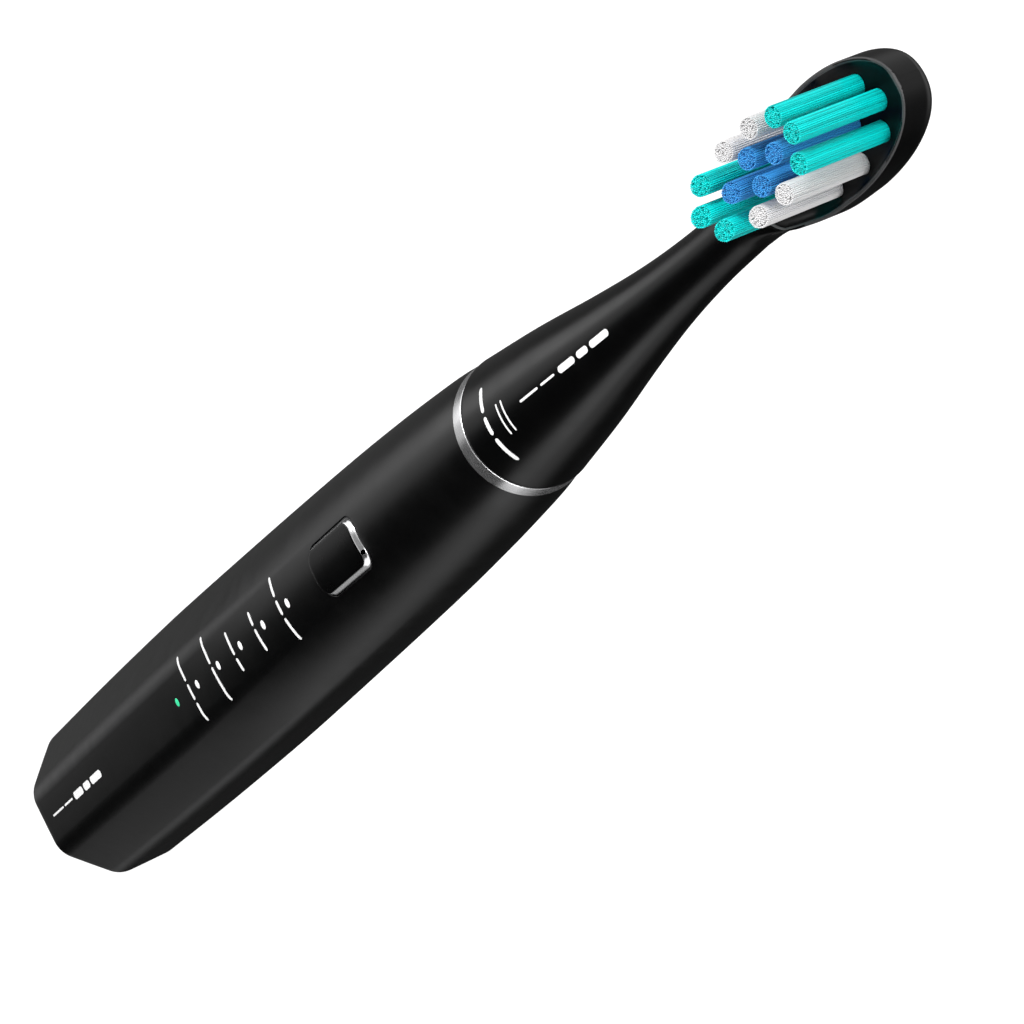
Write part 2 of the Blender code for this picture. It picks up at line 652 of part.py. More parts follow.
def rim_outline(inset, y, count=40):
    """The bristle face's outline, drawn in and placed at a depth."""
    points = []
    for i in range(count):
        angle = 2.0 * math.pi * i / count
        across, up = math.sin(angle), math.cos(angle)
        reach = (RIM_UP if up > 0.0 else RIM_DOWN) - inset
        size = (abs(across)**RIM_POWER + abs(up)**RIM_POWER) ** (-1.0 / RIM_POWER)
        points.append(((RIM_HALF - inset) * across * size, y,
                       RING_TOP + RIM_CENTRE + reach * up * size))
    return points


def build_head_shell():
    shell = loft("head_shell", [head_section(h) for h in head_heights()], BLACK_HEAD)

    depth = FACE_Y - FLOOR_Y
    dish = [rim_outline(-0.35, FACE_Y - 1.5), rim_outline(-0.06, FACE_Y - 0.12),
            rim_outline(0.15, FACE_Y - 0.35 * depth), rim_outline(0.5, FACE_Y - 0.8 * depth),
            rim_outline(1.2, FLOOR_Y)]
    boolean(shell, loft("cut_dish", dish))

    low = RING_TOP
    socket = ((0.0, low + 24.0), (3.3, low + 24.0), (3.3, low + 7.0), (5.3, low + 6.0),
              (6.3, low - 1.0), (0.0, low - 1.0))
    boolean(shell, lathe("cut_socket", socket, steps=28))
    for row, (offset, places, _) in enumerate(TUFT_ROWS):
        for place, x in enumerate(places):
            boolean(shell, rod("cut_tuft_%d_%d" % (row + 1, place + 1), TUFT_RADIUS + 0.04,
                               -TUFT_ROOT - 0.1, 4.0, steps=12, at=(x, 0.0, FIELD_Z + offset),
                               turn=(0.5 * math.pi, 0.0, 0.0)))
    shade(shell)
    return shell


def build_tuft(name, x, offset, look, parent):
    """One tuft, cut at its tip to the brush's hollow profile."""
    slant = TUFT_SLANT + TUFT_SLANT_STEP * offset
    tip = TUFT_TIP + TUFT_RISE * offset**2 + 0.3 * slant
    bm = bmesh.new()
    bmesh.ops.create_cone(bm, cap_ends=True, segments=12, radius1=TUFT_RADIUS,
                          radius2=TUFT_RADIUS, depth=1.0)
    for vert in bm.verts:
        up = vert.co.y
        vert.co.z = -TUFT_ROOT if vert.co.z < 0.0 else tip - slant * up
    shade(finish(name, bm, look, at=(x, 0.0, FIELD_Z + offset), parent=parent,
                 turn=(0.5 * math.pi, 0.0, 0.0)), 50.0)


def build_brush_head():
    axis = pivot("brush_head_pivot", (0.0, 0.0, RING_TOP))
    shell = build_head_shell()
    shell.parent = axis
    shell.matrix_parent_inverse = axis.matrix_world.inverted()
    shell.location = [-c for c in axis.location]

    low = RING_TOP
    sleeve = ((4.9, low + 5.7), (4.9, low + 4.6), (2.1, low + 4.6), (2.1, low + 23.6),
              (3.2, low + 23.6), (3.2, low + 5.7))
    shade(lathe("head_socket", sleeve, INNER_PLASTIC, 24, solid=False, parent=axis))
    block("head_spring", (-0.9, 0.9), (-1.8, -1.55), (SPINDLE_TOP - 10.6, SPINDLE_TOP - 0.4),
          STEEL, parent=axis)

    for row, (offset, places, colour) in enumerate(TUFT_ROWS):
        for x in places:
            side = "" if x == 0.0 else ("_left" if x < 0.0 else "_right")
            build_tuft("tuft_%d%s" % (row + 1, side), x, offset, BRISTLE[colour], axis)


build_handle_shell()
build_trim_ring()
build_base()
build_inner_frame()
build_battery()
build_board()
build_wires()
build_button()
build_switch()
build_motor()
build_shaft()
build_nose()
build_brush_head()
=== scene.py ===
"""Looks of the sonic electric toothbrush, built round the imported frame.

Metres in Blender, millimetres in the dimensions below. The handle's axis is the
world Z axis, the base stands on z = 0, and the bristles and lights face -Y.
"""
import math
import random

import bmesh
import bpy
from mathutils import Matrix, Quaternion, Vector


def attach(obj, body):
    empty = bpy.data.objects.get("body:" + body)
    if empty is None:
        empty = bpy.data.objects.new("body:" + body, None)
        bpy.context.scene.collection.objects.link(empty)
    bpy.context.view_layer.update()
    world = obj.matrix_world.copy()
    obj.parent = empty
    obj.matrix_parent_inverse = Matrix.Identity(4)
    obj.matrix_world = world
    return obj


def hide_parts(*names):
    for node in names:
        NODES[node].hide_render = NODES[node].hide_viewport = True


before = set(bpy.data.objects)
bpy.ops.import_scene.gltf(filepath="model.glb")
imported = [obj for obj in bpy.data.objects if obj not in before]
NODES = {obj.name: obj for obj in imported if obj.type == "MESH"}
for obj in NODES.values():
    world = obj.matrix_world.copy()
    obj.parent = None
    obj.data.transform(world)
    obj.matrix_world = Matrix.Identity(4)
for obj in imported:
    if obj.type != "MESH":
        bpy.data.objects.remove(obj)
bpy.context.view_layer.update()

MM = 0.001

# --- Dimensions the CAD part has too, in millimetres ------------------------------------------

HANDLE_TOP = 168.4
RING_TOP = 170.2
HANDLE = ((0.0, 12.27), (30.0, 12.13), (60.0, 11.77), (90.0, 11.20), (118.0, 10.58),
          (136.0, 9.99), (150.0, 9.29), (160.0, 8.63), (165.0, 8.23), (168.4, 7.82))
CORNER_SHARE = 0.37
BOW_START = 60.0
BOW_END = 148.0
BASE_EDGE = 0.35
WALL = 1.6
CAP_BORE = 9.6
CAP_BORE_DEPTH = 6.0

HEAD_GAP = 0.3
HEAD_LENGTH = 80.2
NECK_END = 51.0
HEAD_WIDEST = 68.6
HEAD_HALF_WIDTH = 5.28
TIP_POWER = 2.15
FACE_Y = -2.0
FLOOR_Y = -1.25
NECK = ((0.0, 7.76), (12.0, 6.39), (24.0, 4.71), (34.0, 3.52), (43.0, 2.89), (51.0, 2.72))
FLANK = ((51.0, 2.72), (54.4, 2.88), (57.1, 3.36), (60.0, 4.12), (64.0, 4.98), (68.6, 5.28))
BACK = ((51.0, 2.72), (56.0, 2.90), (60.0, 3.50), (64.0, 4.10), (68.6, 4.32), (73.0, 3.78),
        (77.0, 2.85), (78.7, 2.10), (79.7, 1.25), (80.2, 0.50))
FRONT = ((51.0, 2.72), (54.0, 2.72), (57.5, 2.30), (61.0, 2.00), (70.0, 2.00), (79.85, 2.00),
         (80.1, 1.90), (80.2, 1.50))
RIM_CENTRE = 69.3
RIM_UP = 10.45
RIM_DOWN = 13.5
RIM_HALF = 5.04
RIM_POWER = 2.5
LIP = 0.30                # flat edge left outside the dish
HEAD_CORNER = 0.15
HEAD_MIDDLE = 0.4         # how far the head's flank lies behind the axis
FACE_BLEND = 9.0          # length over which the round neck turns into the head

FIELD_Z = RING_TOP + 68.15
TUFT_RADIUS = 0.95
TUFT_ROOT = 1.1
TUFT_TIP = 9.59
TUFT_RISE = 0.98 / 64.0
TUFT_SLANT = 0.33
TUFT_SLANT_STEP = -0.025
TUFT_ROWS = (
    (8.10, (0.0,), "teal"),
    (6.53, (-2.17, 2.17), "teal"),
    (3.77, (0.0,), "blue"),
    (2.25, (-3.09, 3.09), "white"),
    (0.0, (-1.28, 1.28), "blue"),
    (-2.25, (-3.09, 3.09), "white"),
    (-3.77, (0.0,), "blue"),
    (-6.53, (-2.17, 2.17), "teal"),
    (-8.10, (0.0,), "teal"),
)

CHARGE_LIGHT_Z = 72.5
MODE_LIGHT_Z = 81.4
MODE_LIGHT_STEP = 8.95
LIGHT_RADIUS = 0.6
BOARD_FRONT = -6.1
BUTTON_Z = 134.3
BUTTON_WIDTH = 6.3
BUTTON_LENGTH = 13.6
BUTTON_CORNER = 2.0
BUTTON_RISE = 0.5
BUTTON_BEVEL = 0.38
BUTTON_BEVEL_DEPTH = 0.5
BUTTON_GAP = 0.2
BUTTON_BACK = -7.25
SHAFT_RADIUS = 1.5
SPINDLE_RADIUS = 1.8
SPINDLE_TOP = RING_TOP + 17.8

# --- Finish details of this file only, in millimetres -----------------------------------------

SIDE_STEPS = 4            # facets in each side of the handle, and in each corner
CORNER_STEPS = 12
HEAD_COUNT = 168          # points round the brush head
LATHE_STEPS = 160
EDGE_BREAK = 0.04         # broken edge round the button opening
FLAT_SHARE = 0.45         # shares of a quarter outline on the flat and on the corner
BEND_SHARE = 0.17
RIM_HIGHLIGHT_BAND = 0.15           # depth of the grey band round the dish, a painted highlight on the rim's rounding
GOLDEN_ANGLE = 2.39996
STRANDS = 74              # filaments inside a tuft, and those round its outside
RING_STRANDS = 33
STRAND_RADIUS = 0.080
STRAND_SIDES = 6
INK_LIFT = 0.02           # pad printing stands this proud
INK_DEPTH = 0.02

# --- Camera and studio ------------------------------------------------------------------------

CAMERA_AT = (42.386, -144.889, 420.473)
CAMERA_AIM = (3.183, 13.373, 133.564)
CAMERA_ROLL = 50.18
CAMERA_LENS = 98.015

# Softboxes round the studio: azimuth of the middle (0 in front, 90 to the right),
# half-width and soft edge in degrees, brightness below and above, and the two
# heights (sines of elevation) between which one turns into the other.
SOFTBOXES = (
    (-64.0, 11.0, 6.0, 0.30, 1.50, -0.90, -0.62),
    (-43.0, 12.0, 14.0, 0.30, 0.70, -0.90, -0.62),
    (70.0, 9.0, 6.0, 0.05, 1.50, -0.88, -0.60),
    (94.0, 6.0, 11.0, 0.36, 0.55, -0.80, -0.15),
    (-125.0, 20.0, 22.0, 0.10, 0.06, -0.90, -0.42),
    (-8.0, 16.0, 16.0, 0.0, 0.90, -0.30, 0.05),
    (-2.0, 22.0, 20.0, 0.0, -0.70, 0.30, 0.55),      # a black flag over the front box
    (-165.0, 38.0, 34.0, 0.02, 0.60, -0.50, 0.0),
)
AMBIENT = 0.005


# --- Curves and sections ----------------------------------------------------------------------

def clamp(value, low=0.0, high=1.0):
    return min(max(value, low), high)


def through(stations, t):
    """Smooth curve through (t, value) stations."""
    if t <= stations[0][0]:
        return stations[0][1]
    if t >= stations[-1][0]:
        return stations[-1][1]
    k = max(i for i in range(len(stations) - 1) if stations[i][0] <= t)

    def slope(i):
        low, high = max(i - 1, 0), min(i + 1, len(stations) - 1)
        rise = stations[high][1] - stations[low][1]
        return rise / (stations[high][0] - stations[low][0])

    (t0, v0), (t1, v1) = stations[k], stations[k + 1]
    run = t1 - t0
    s = (t - t0) / run
    return ((2 * s**3 - 3 * s**2 + 1) * v0 + (s**3 - 2 * s**2 + s) * run * slope(k)
            + (3 * s**2 - 2 * s**3) * v1 + (s**3 - s**2) * run * slope(k + 1))


def side_shape(z, inset=0.0):
    """One side of the section: apothem, corner radius, bow radius and half turn."""
    t = clamp((z - BOW_START) / (BOW_END - BOW_START))
    bow = max(math.pi / 8.0 * t * t * (3.0 - 2.0 * t), 0.009)
    apothem = handle_apothem(z) - inset
    corner = CORNER_SHARE * handle_apothem(z) - inset
    slope = math.tan(math.pi / 8.0)
    radius = ((slope * apothem + corner * (math.sin(bow) - slope * math.cos(bow)))
              / (math.sin(bow) + slope * (1.0 - math.cos(bow))))
    return apothem, corner, radius, bow


def handle_apothem(z):
    """Half the handle's width across its flats."""
    return through(HANDLE, z)


def section_point(shape, side, turn, z):
    """Where the outline has turned by `turn` from the middle of the given side."""
    apothem, corner, radius, bow = shape
    if turn > 0.25 * math.pi - bow:
        side, turn = side + 0.25 * math.pi, turn - 0.25 * math.pi
    out, along, curve = apothem - radius, 0.0, radius
    if turn > bow:
        out += (radius - corner) * math.cos(bow)
        along += (radius - corner) * math.sin(bow)
        curve = corner
    out += curve * math.cos(turn)
    along += curve * math.sin(turn)
    return Vector((out * math.sin(side) + along * math.cos(side),
                   along * math.sin(side) - out * math.cos(side), z))


def handle_section(z, inset=0.0, sides=SIDE_STEPS, corners=CORNER_STEPS):
    """Octagon with rounded corners; its sides bow out until it is a circle."""
    shape = side_shape(z, inset)
    half = min(shape[3], 0.25 * math.pi * sides / (sides + corners) / 2.0)
    step = (0.25 * math.pi - 2.0 * half) / corners
    turns = [half * (2.0 * i / sides - 1.0) for i in range(sides)]
    turns += [half + step * i for i in range(corners)]
    return [section_point(shape, 0.25 * math.pi * k, turn, z) for k in range(8) for turn in turns]


def handle_front(x, z):
    """Depth of the handle's surface near the middle of its front."""
    apothem, corner, radius, bow = side_shape(z)
    if abs(x) <= radius * math.sin(bow):
        return radius - apothem - math.sqrt(radius**2 - x**2)
    centre = (radius - corner) * math.sin(bow)
    out = apothem - radius + (radius - corner) * math.cos(bow)
    return -out - math.sqrt(max(corner**2 - (abs(x) - centre)**2, 0.0))


def half_width(h):
    """Half width of the neck and head at a height above the ring."""
    if h <= NECK_END:
        return through(NECK, h)
    if h <= HEAD_WIDEST:
        return through(FLANK, h)
    reach = (h - HEAD_WIDEST) / (HEAD_LENGTH - HEAD_WIDEST)
    return HEAD_HALF_WIDTH * max(1.0 - reach**TIP_POWER, 0.0) ** (1.0 / TIP_POWER)


def squared(s, wide, low, high):
    """Quarter of a flat front with a small round corner: s = 0 in front, 1 at the side."""
    corner = min(HEAD_CORNER, 0.45 * wide, 0.4 * (high - low))
    if s < FLAT_SHARE:
        return (wide - corner) * s / FLAT_SHARE, low
    if s < FLAT_SHARE + BEND_SHARE:
        angle = 0.5 * math.pi * (s - FLAT_SHARE) / BEND_SHARE
        return wide - corner * (1.0 - math.sin(angle)), low + corner * (1.0 - math.cos(angle))
    rest = (s - FLAT_SHARE - BEND_SHARE) / (1.0 - FLAT_SHARE - BEND_SHARE)
    return wide, low + corner + (high - low - corner) * rest


def head_section(h):
    """Round in the neck; on the head, a flat front on a deep rounded back."""
    wide = half_width(h)
    back = through(BACK, h) if h > NECK_END else wide
    front = through(FRONT, h) if h > NECK_END else wide
    t = clamp((h - NECK_END) / FACE_BLEND)
    blend = t * t * (3.0 - 2.0 * t)
    middle = HEAD_MIDDLE * t
    points = []
    for i in range(HEAD_COUNT):
        angle = 2.0 * math.pi * (i + 0.5) / HEAD_COUNT
        across, along = math.sin(angle), -math.cos(angle)
        x, y = wide * across, middle + (back - middle) * along
        if along < 0.0:
            y = middle + (front + middle) * along
            share = math.atan2(abs(across), -along) / (0.5 * math.pi)
            side, level = squared(share, wide, -front, middle)
            x = x * (1.0 - blend) + math.copysign(side, across) * blend
            y = y * (1.0 - blend) + level * blend
        points.append((x, y, RING_TOP + h))
    return points


def drawn_in(h, inset):
    """Half width of the head's front outline, drawn in evenly all round."""
    if inset <= 0.0:
        return half_width(h) - inset
    turns = [0.5 * math.pi * k / 8.0 for k in range(9)]
    return min(half_width(h + inset * math.sin(t)) - inset * math.cos(t) for t in turns)


def rim_outline(inset, y):
    """The bristle face's outline, drawn in and placed at a depth."""
    points = []
    for i in range(HEAD_COUNT):
        angle = 2.0 * math.pi * i / HEAD_COUNT
        across, up = math.sin(angle), math.cos(angle)
        reach = (RIM_UP if up > 0.0 else RIM_DOWN) - inset
        size = (abs(across)**RIM_POWER + abs(up)**RIM_POWER) ** (-1.0 / RIM_POWER)
        h = RIM_CENTRE + reach * up * size
        side = min((RIM_HALF - inset) * abs(across) * size, max(drawn_in(h, LIP + inset), 0.02))
        points.append((math.copysign(side, across), y, RING_TOP + h))
    return points


def pad_outline(width, length, corner, offset=0.0):
    """Rounded rectangle in x and z about the origin, grown by an offset."""
    half_x, half_z = 0.5 * width - corner, 0.5 * length - corner
    radius = corner + offset
    points = []
    steps = 10
    corners = ((1, 1), (-1, 1), (-1, -1), (1, -1))
    for k, (sx, sz) in enumerate(corners):
        for step in range(steps + 1):
            angle = 0.5 * math.pi * (k + step / steps)
            points.append((sx * half_x + radius * math.cos(angle),
                           sz * half_z + radius * math.sin(angle)))
        ahead = corners[(k + 1) % 4]
        run = ((ahead[0] - sx) * half_x, (ahead[1] - sz) * half_z)
        start = points[-1]
        points += [(start[0] + run[0] * i / 6.0, start[1] + run[1] * i / 6.0) for i in range(1, 6)]
    return points


# --- Mesh tools -------------------------------------------------------------------------------

def add_object(name, bm, angle=35.0):
    """A bmesh in millimetres becomes a smooth-shaded object in metres."""
    bmesh.ops.recalc_face_normals(bm, faces=bm.faces)
    bmesh.ops.scale(bm, vec=(MM, MM, MM), verts=bm.verts)
    mesh = bpy.data.meshes.new(name)
    bm.to_mesh(mesh)
    bm.free()
    obj = bpy.data.objects.new(name, mesh)
    bpy.context.scene.collection.objects.link(obj)
    smooth(mesh, angle)
    return obj


def smooth(mesh, angle):
    mesh.polygons.foreach_set("use_smooth", [True] * len(mesh.polygons))
    mesh.set_sharp_from_angle(angle=math.radians(angle))


def rings_mesh(rings):
    """Closed skin over rings of equal counts."""
    bm = bmesh.new()
    rows = [[bm.verts.new(p) for p in ring] for ring in rings]
    for low, high in zip(rows, rows[1:]):
        for i in range(len(low)):
            j = (i + 1) % len(low)
            bm.faces.new((low[i], low[j], high[j], high[i]))
    bm.faces.new(rows[0])
    bm.faces.new(rows[-1])
    return bm


def turned(outline, steps=LATHE_STEPS, axis="Z", at=(0.0, 0.0, 0.0)):
    """Turn a closed (r, height) outline; points on the axis close the shape."""
    def place(r, height, angle):
        x, y = r * math.cos(angle), r * math.sin(angle)
        point = (x, y, height) if axis == "Z" else (x, -height, y)
        return [a + b for a, b in zip(point, at)]

    bm = bmesh.new()
    rows = []
    for r, height in outline:
        if r < 1e-6:
            rows.append([bm.verts.new(place(0.0, height, 0.0))])
        else:
            rows.append([bm.verts.new(place(r, height, 2.0 * math.pi * i / steps))
                         for i in range(steps)])
    solid = outline[0][0] < 1e-6 and outline[-1][0] < 1e-6
    for low, high in list(zip(rows, rows[1:])) + ([] if solid else [(rows[-1], rows[0])]):
        for i in range(steps):
            j = (i + 1) % steps
            corners = [row[k % len(row)] for row, k in ((low, i), (low, j), (high, j), (high, i))]
            corners = [v for n, v in enumerate(corners) if v not in corners[:n]]
            if len(corners) > 2:
                bm.faces.new(corners)
    return bm


def cut(obj, bm, operation="DIFFERENCE"):
    """Cut a bmesh in millimetres out of an object, or join it on."""
    cutter = add_object("cutter", bm)
    mod = obj.modifiers.new("cut", "BOOLEAN")
    mod.operation = operation
    mod.solver = "EXACT"
    mod.object = cutter
    bpy.context.view_layer.update()
    graph = bpy.context.evaluated_depsgraph_get()
    mesh = bpy.data.meshes.new_from_object(obj.evaluated_get(graph), depsgraph=graph)
    obj.modifiers.clear()
    old = obj.data
    obj.data = mesh
    mesh.name = old.name
    bpy.data.meshes.remove(old)
    bpy.data.meshes.remove(cutter.data)


def box_mesh(x, y, z):
    """Box between (low, high) pairs on each axis."""
    bm = bmesh.new()
    bmesh.ops.create_cube(bm, size=1.0)
    for vert in bm.verts:
        for axis, (low, high) in enumerate((x, y, z)):
            vert.co[axis] = high if vert.co[axis] > 0.0 else low
    return bm


def arc(centre, radius, start, end, steps):
    """Points of an arc in an (r, z) outline; angles in degrees."""
    return [(centre[0] + radius * math.cos(math.radians(start + (end - start) * i / steps)),
             centre[1] + radius * math.sin(math.radians(start + (end - start) * i / steps)))
            for i in range(steps + 1)]


def show(obj, body, slot, material, *replaced):
    """Give a piece its material and its body, and hide the nodes it stands for. The slot is not
    used.
    """
    obj.data.materials.clear()
    obj.data.materials.append(material)
    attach(obj, body)
    if replaced:
        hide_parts(*replaced)
    return obj


# --- Materials --------------------------------------------------------------------------------

class Finish:
    """A Principled material with object-space texture layers."""

    def __init__(self, name, colour, roughness, metallic=0.0, ior=1.45, **sockets):
        self.material = bpy.data.materials.new(name)
        self.material.use_nodes = True
        self.tree = self.material.node_tree
        self.shader = self.tree.nodes["Principled BSDF"]
        self.colour = colour
        self.set("Base Color", (*colour, 1.0))
        self.set("Roughness", roughness)
        self.set("Metallic", metallic)
        self.set("IOR", ior)
        for socket, value in sockets.items():
            self.set(socket.replace("_", " "), value)
        self.place = self.tree.nodes.new("ShaderNodeTexCoord").outputs["Object"]
        self.height = None

    def set(self, socket, value):
        self.shader.inputs[socket].default_value = value

    def link(self, a, b):
        self.tree.links.new(a, b)

    def node(self, kind, **values):
        node = self.tree.nodes.new(kind)
        for key, value in values.items():
            setattr(node, key, value)
        return node

    def stretched(self, scale):
        mapping = self.node("ShaderNodeMapping")
        mapping.inputs["Scale"].default_value = scale
        self.link(self.place, mapping.inputs["Vector"])
        return mapping.outputs["Vector"]

    def noise(self, size, detail=3.0, stretch=(1.0, 1.0, 1.0)):
        """Noise whose features are about `size` millimetres."""
        node = self.node("ShaderNodeTexNoise")
        node.inputs["Scale"].default_value = 1000.0 / size
        node.inputs["Detail"].default_value = detail
        self.link(self.stretched(stretch), node.inputs["Vector"])
        return node.outputs["Fac"]

    def ranged(self, value, low, high, start=0.3, end=0.7):
        node = self.node("ShaderNodeMapRange")
        self.link(value, node.inputs["Value"])
        node.inputs["From Min"].default_value = start
        node.inputs["From Max"].default_value = end
        node.inputs["To Min"].default_value = low
        node.inputs["To Max"].default_value = high
        return node.outputs["Result"]

    def mottle(self, value, shade=0.8, tint=None):
        """Blend the colour towards a darker or tinted one where the pattern is high."""
        node = self.node("ShaderNodeMix", data_type="RGBA")
        other = tint if tint else tuple(c * shade for c in self.colour)
        node.inputs["A"].default_value = (*self.colour, 1.0)
        node.inputs["B"].default_value = (*other, 1.0)
        self.link(value, node.inputs["Factor"])
        self.link(node.outputs["Result"], self.shader.inputs["Base Color"])

    def worn(self, value, low, high):
        """Roughness between two values by a pattern."""
        self.link(self.ranged(value, low, high), self.shader.inputs["Roughness"])

    def bump(self, value, depth, strength=1.0):
        """Relief of `depth` millimetres from a pattern; calls stack."""
        node = self.node("ShaderNodeBump")
        node.inputs["Strength"].default_value = strength
        node.inputs["Distance"].default_value = depth * MM
        self.link(value, node.inputs["Height"])
        if self.height is not None:
            self.link(self.height, node.inputs["Normal"])
        self.height = node.outputs["Normal"]
        self.link(self.height, self.shader.inputs["Normal"])


def satin_black(name, colour, low, high, ior):
    """Satin coating: fine orange-peel grain and slight changes of gloss."""
    look = Finish(name, colour, low, ior=ior)
    look.mottle(look.ranged(look.noise(9.0), 0.0, 1.0), 0.75)
    look.worn(look.noise(3.5, 4.0), low, high)
    look.bump(look.noise(0.16, 2.0), 0.002, 0.35)
    look.bump(look.noise(0.9, 2.0), 0.004, 0.25)
    return look.material


def moulded(name, colour, roughness, grain=0.25):
    """Plain injection moulding with a spark-eroded grain."""
    look = Finish(name, colour, roughness)
    look.mottle(look.ranged(look.noise(4.0), 0.0, 1.0), 0.86)
    look.worn(look.noise(1.2), roughness - 0.05, roughness + 0.07)
    look.bump(look.noise(grain, 2.0), 0.01, 0.5)
    return look.material


def brushed(name, colour, roughness, stretch, line=0.12, lathe=0.0):
    """Metal with fine lines; stretch squeezes the noise along the lines.

    A lathe finish also spreads its highlights across lines that run round the axis.
    """
    look = Finish(name, colour, roughness, metallic=0.95 if lathe else 1.0)
    if lathe:
        look.set("Anisotropic", lathe)
        look.set("Anisotropic Rotation", 0.25)
        tangent = look.node("ShaderNodeTangent", direction_type="RADIAL", axis="Z")
        look.link(tangent.outputs["Tangent"], look.shader.inputs["Tangent"])
    lines = look.noise(line, 3.0, stretch)
    look.mottle(look.ranged(lines, 0.0, 1.0), 0.82)
    look.worn(lines, roughness - 0.04, roughness + 0.07)
    look.bump(lines, 0.002, 0.5)
    return look.material


def wound(name, colour, pitch):
    """Enamelled wire lying in close turns, painted darker in the grooves between turns as shade."""
    look = Finish(name, colour, 0.3, metallic=1.0)
    wave = look.node("ShaderNodeTexWave", wave_type="BANDS", bands_direction="Z")
    wave.inputs["Scale"].default_value = 1000.0 / pitch / 20.0 * math.pi
    wave.inputs["Distortion"].default_value = 0.6
    look.link(look.place, wave.inputs["Vector"])
    # painted shade in the grooves between the turns
    look.mottle(look.ranged(wave.outputs["Fac"], 1.0, 0.0, 0.0, 0.6), 0.35)
    look.bump(wave.outputs["Fac"], 0.05)
    return look.material


def nylon(name, colour, tone_and_shade_tint):
    """Round filaments, each tinted at random towards a darker colour: partly their own differences
    in tone, partly painted shade between filaments.
    """
    look = Finish(name, colour, 0.34, ior=1.4)
    shade = look.node("ShaderNodeAttribute", attribute_name="strand_tone_and_shade")
    streaks = look.noise(0.25, 2.0, (1.0, 0.12, 1.0))
    both = look.node("ShaderNodeMath", operation="MULTIPLY")
    look.link(shade.outputs["Fac"], both.inputs[0])
    look.link(look.ranged(streaks, 0.45, 1.0), both.inputs[1])
    look.mottle(both.outputs[0], tint=tone_and_shade_tint)
    look.worn(streaks, 0.28, 0.42)
    return look.material


def printed():
    """White pad printing with a slightly uneven film."""
    look = Finish("white_ink", (0.86, 0.86, 0.86), 0.5)
    look.mottle(look.ranged(look.noise(0.35, 3.0), 0.0, 1.0), 0.9)
    look.worn(look.noise(0.2), 0.42, 0.6)
    look.bump(look.noise(0.12, 2.0), 0.004, 0.4)
    return look.material


def light_pipe(name, colour, glow):
    """Milky light pipe, lit from behind."""
    look = Finish(name, colour, 0.18, ior=1.49)
    look.mottle(look.ranged(look.noise(0.4, 2.0), 0.0, 1.0), 0.93)
    look.worn(look.noise(0.3), 0.14, 0.26)
    look.set("Emission Color", (*colour, 1.0))
    look.set("Emission Strength", glow)
    return look.material


def board_mask():
    """Green solder mask with faint traces under it."""
    look = Finish("solder_mask", (0.018, 0.13, 0.055), 0.32)
    bricks = look.node("ShaderNodeTexBrick")
    bricks.inputs["Scale"].default_value = 420.0
    bricks.inputs["Mortar Size"].default_value = 0.035
    look.link(look.stretched((1.0, 1.0, 1.0)), bricks.inputs["Vector"])
    look.mottle(look.ranged(bricks.outputs["Fac"], 0.0, 1.0, 0.0, 1.0), tint=(0.05, 0.25, 0.10))
    look.worn(look.noise(0.5), 0.25, 0.42)
    look.bump(bricks.outputs["Fac"], 0.02, 0.6)
    return look.material


def sintered():
    """Sintered bronze with open pores, painted darker as shade inside them, with a slight bump."""
    look = Finish("bronze", (0.50, 0.30, 0.12), 0.4, metallic=1.0)
    pores = look.node("ShaderNodeTexVoronoi")
    pores.inputs["Scale"].default_value = 9000.0
    look.link(look.place, pores.inputs["Vector"])
    # painted shade inside the pores
    look.mottle(look.ranged(pores.outputs["Distance"], 1.0, 0.0, 0.0, 0.35), 0.4)
    look.bump(pores.outputs["Distance"], 0.02, 0.6)
    return look.material


def battery_sleeve():
    """Shrink sleeve with a darker band and slight wrinkles."""
    look = Finish("battery_sleeve", (0.05, 0.16, 0.32), 0.28, Coat_Weight=0.3)
    look.mottle(look.ranged(look.noise(14.0, 1.0, (0.2, 0.2, 1.0)), 0.0, 1.0), 0.55)
    look.worn(look.noise(1.0), 0.2, 0.36)
    look.bump(look.noise(2.0, 2.0, (1.0, 1.0, 0.15)), 0.05, 0.5)
    return look.material


AROUND = (1.0, 1.0, 40.0)     # lines that run round the axis
ALONG = (1.0, 1.0, 0.03)      # lines that run along it
EVEN = (1.0, 1.0, 1.0)

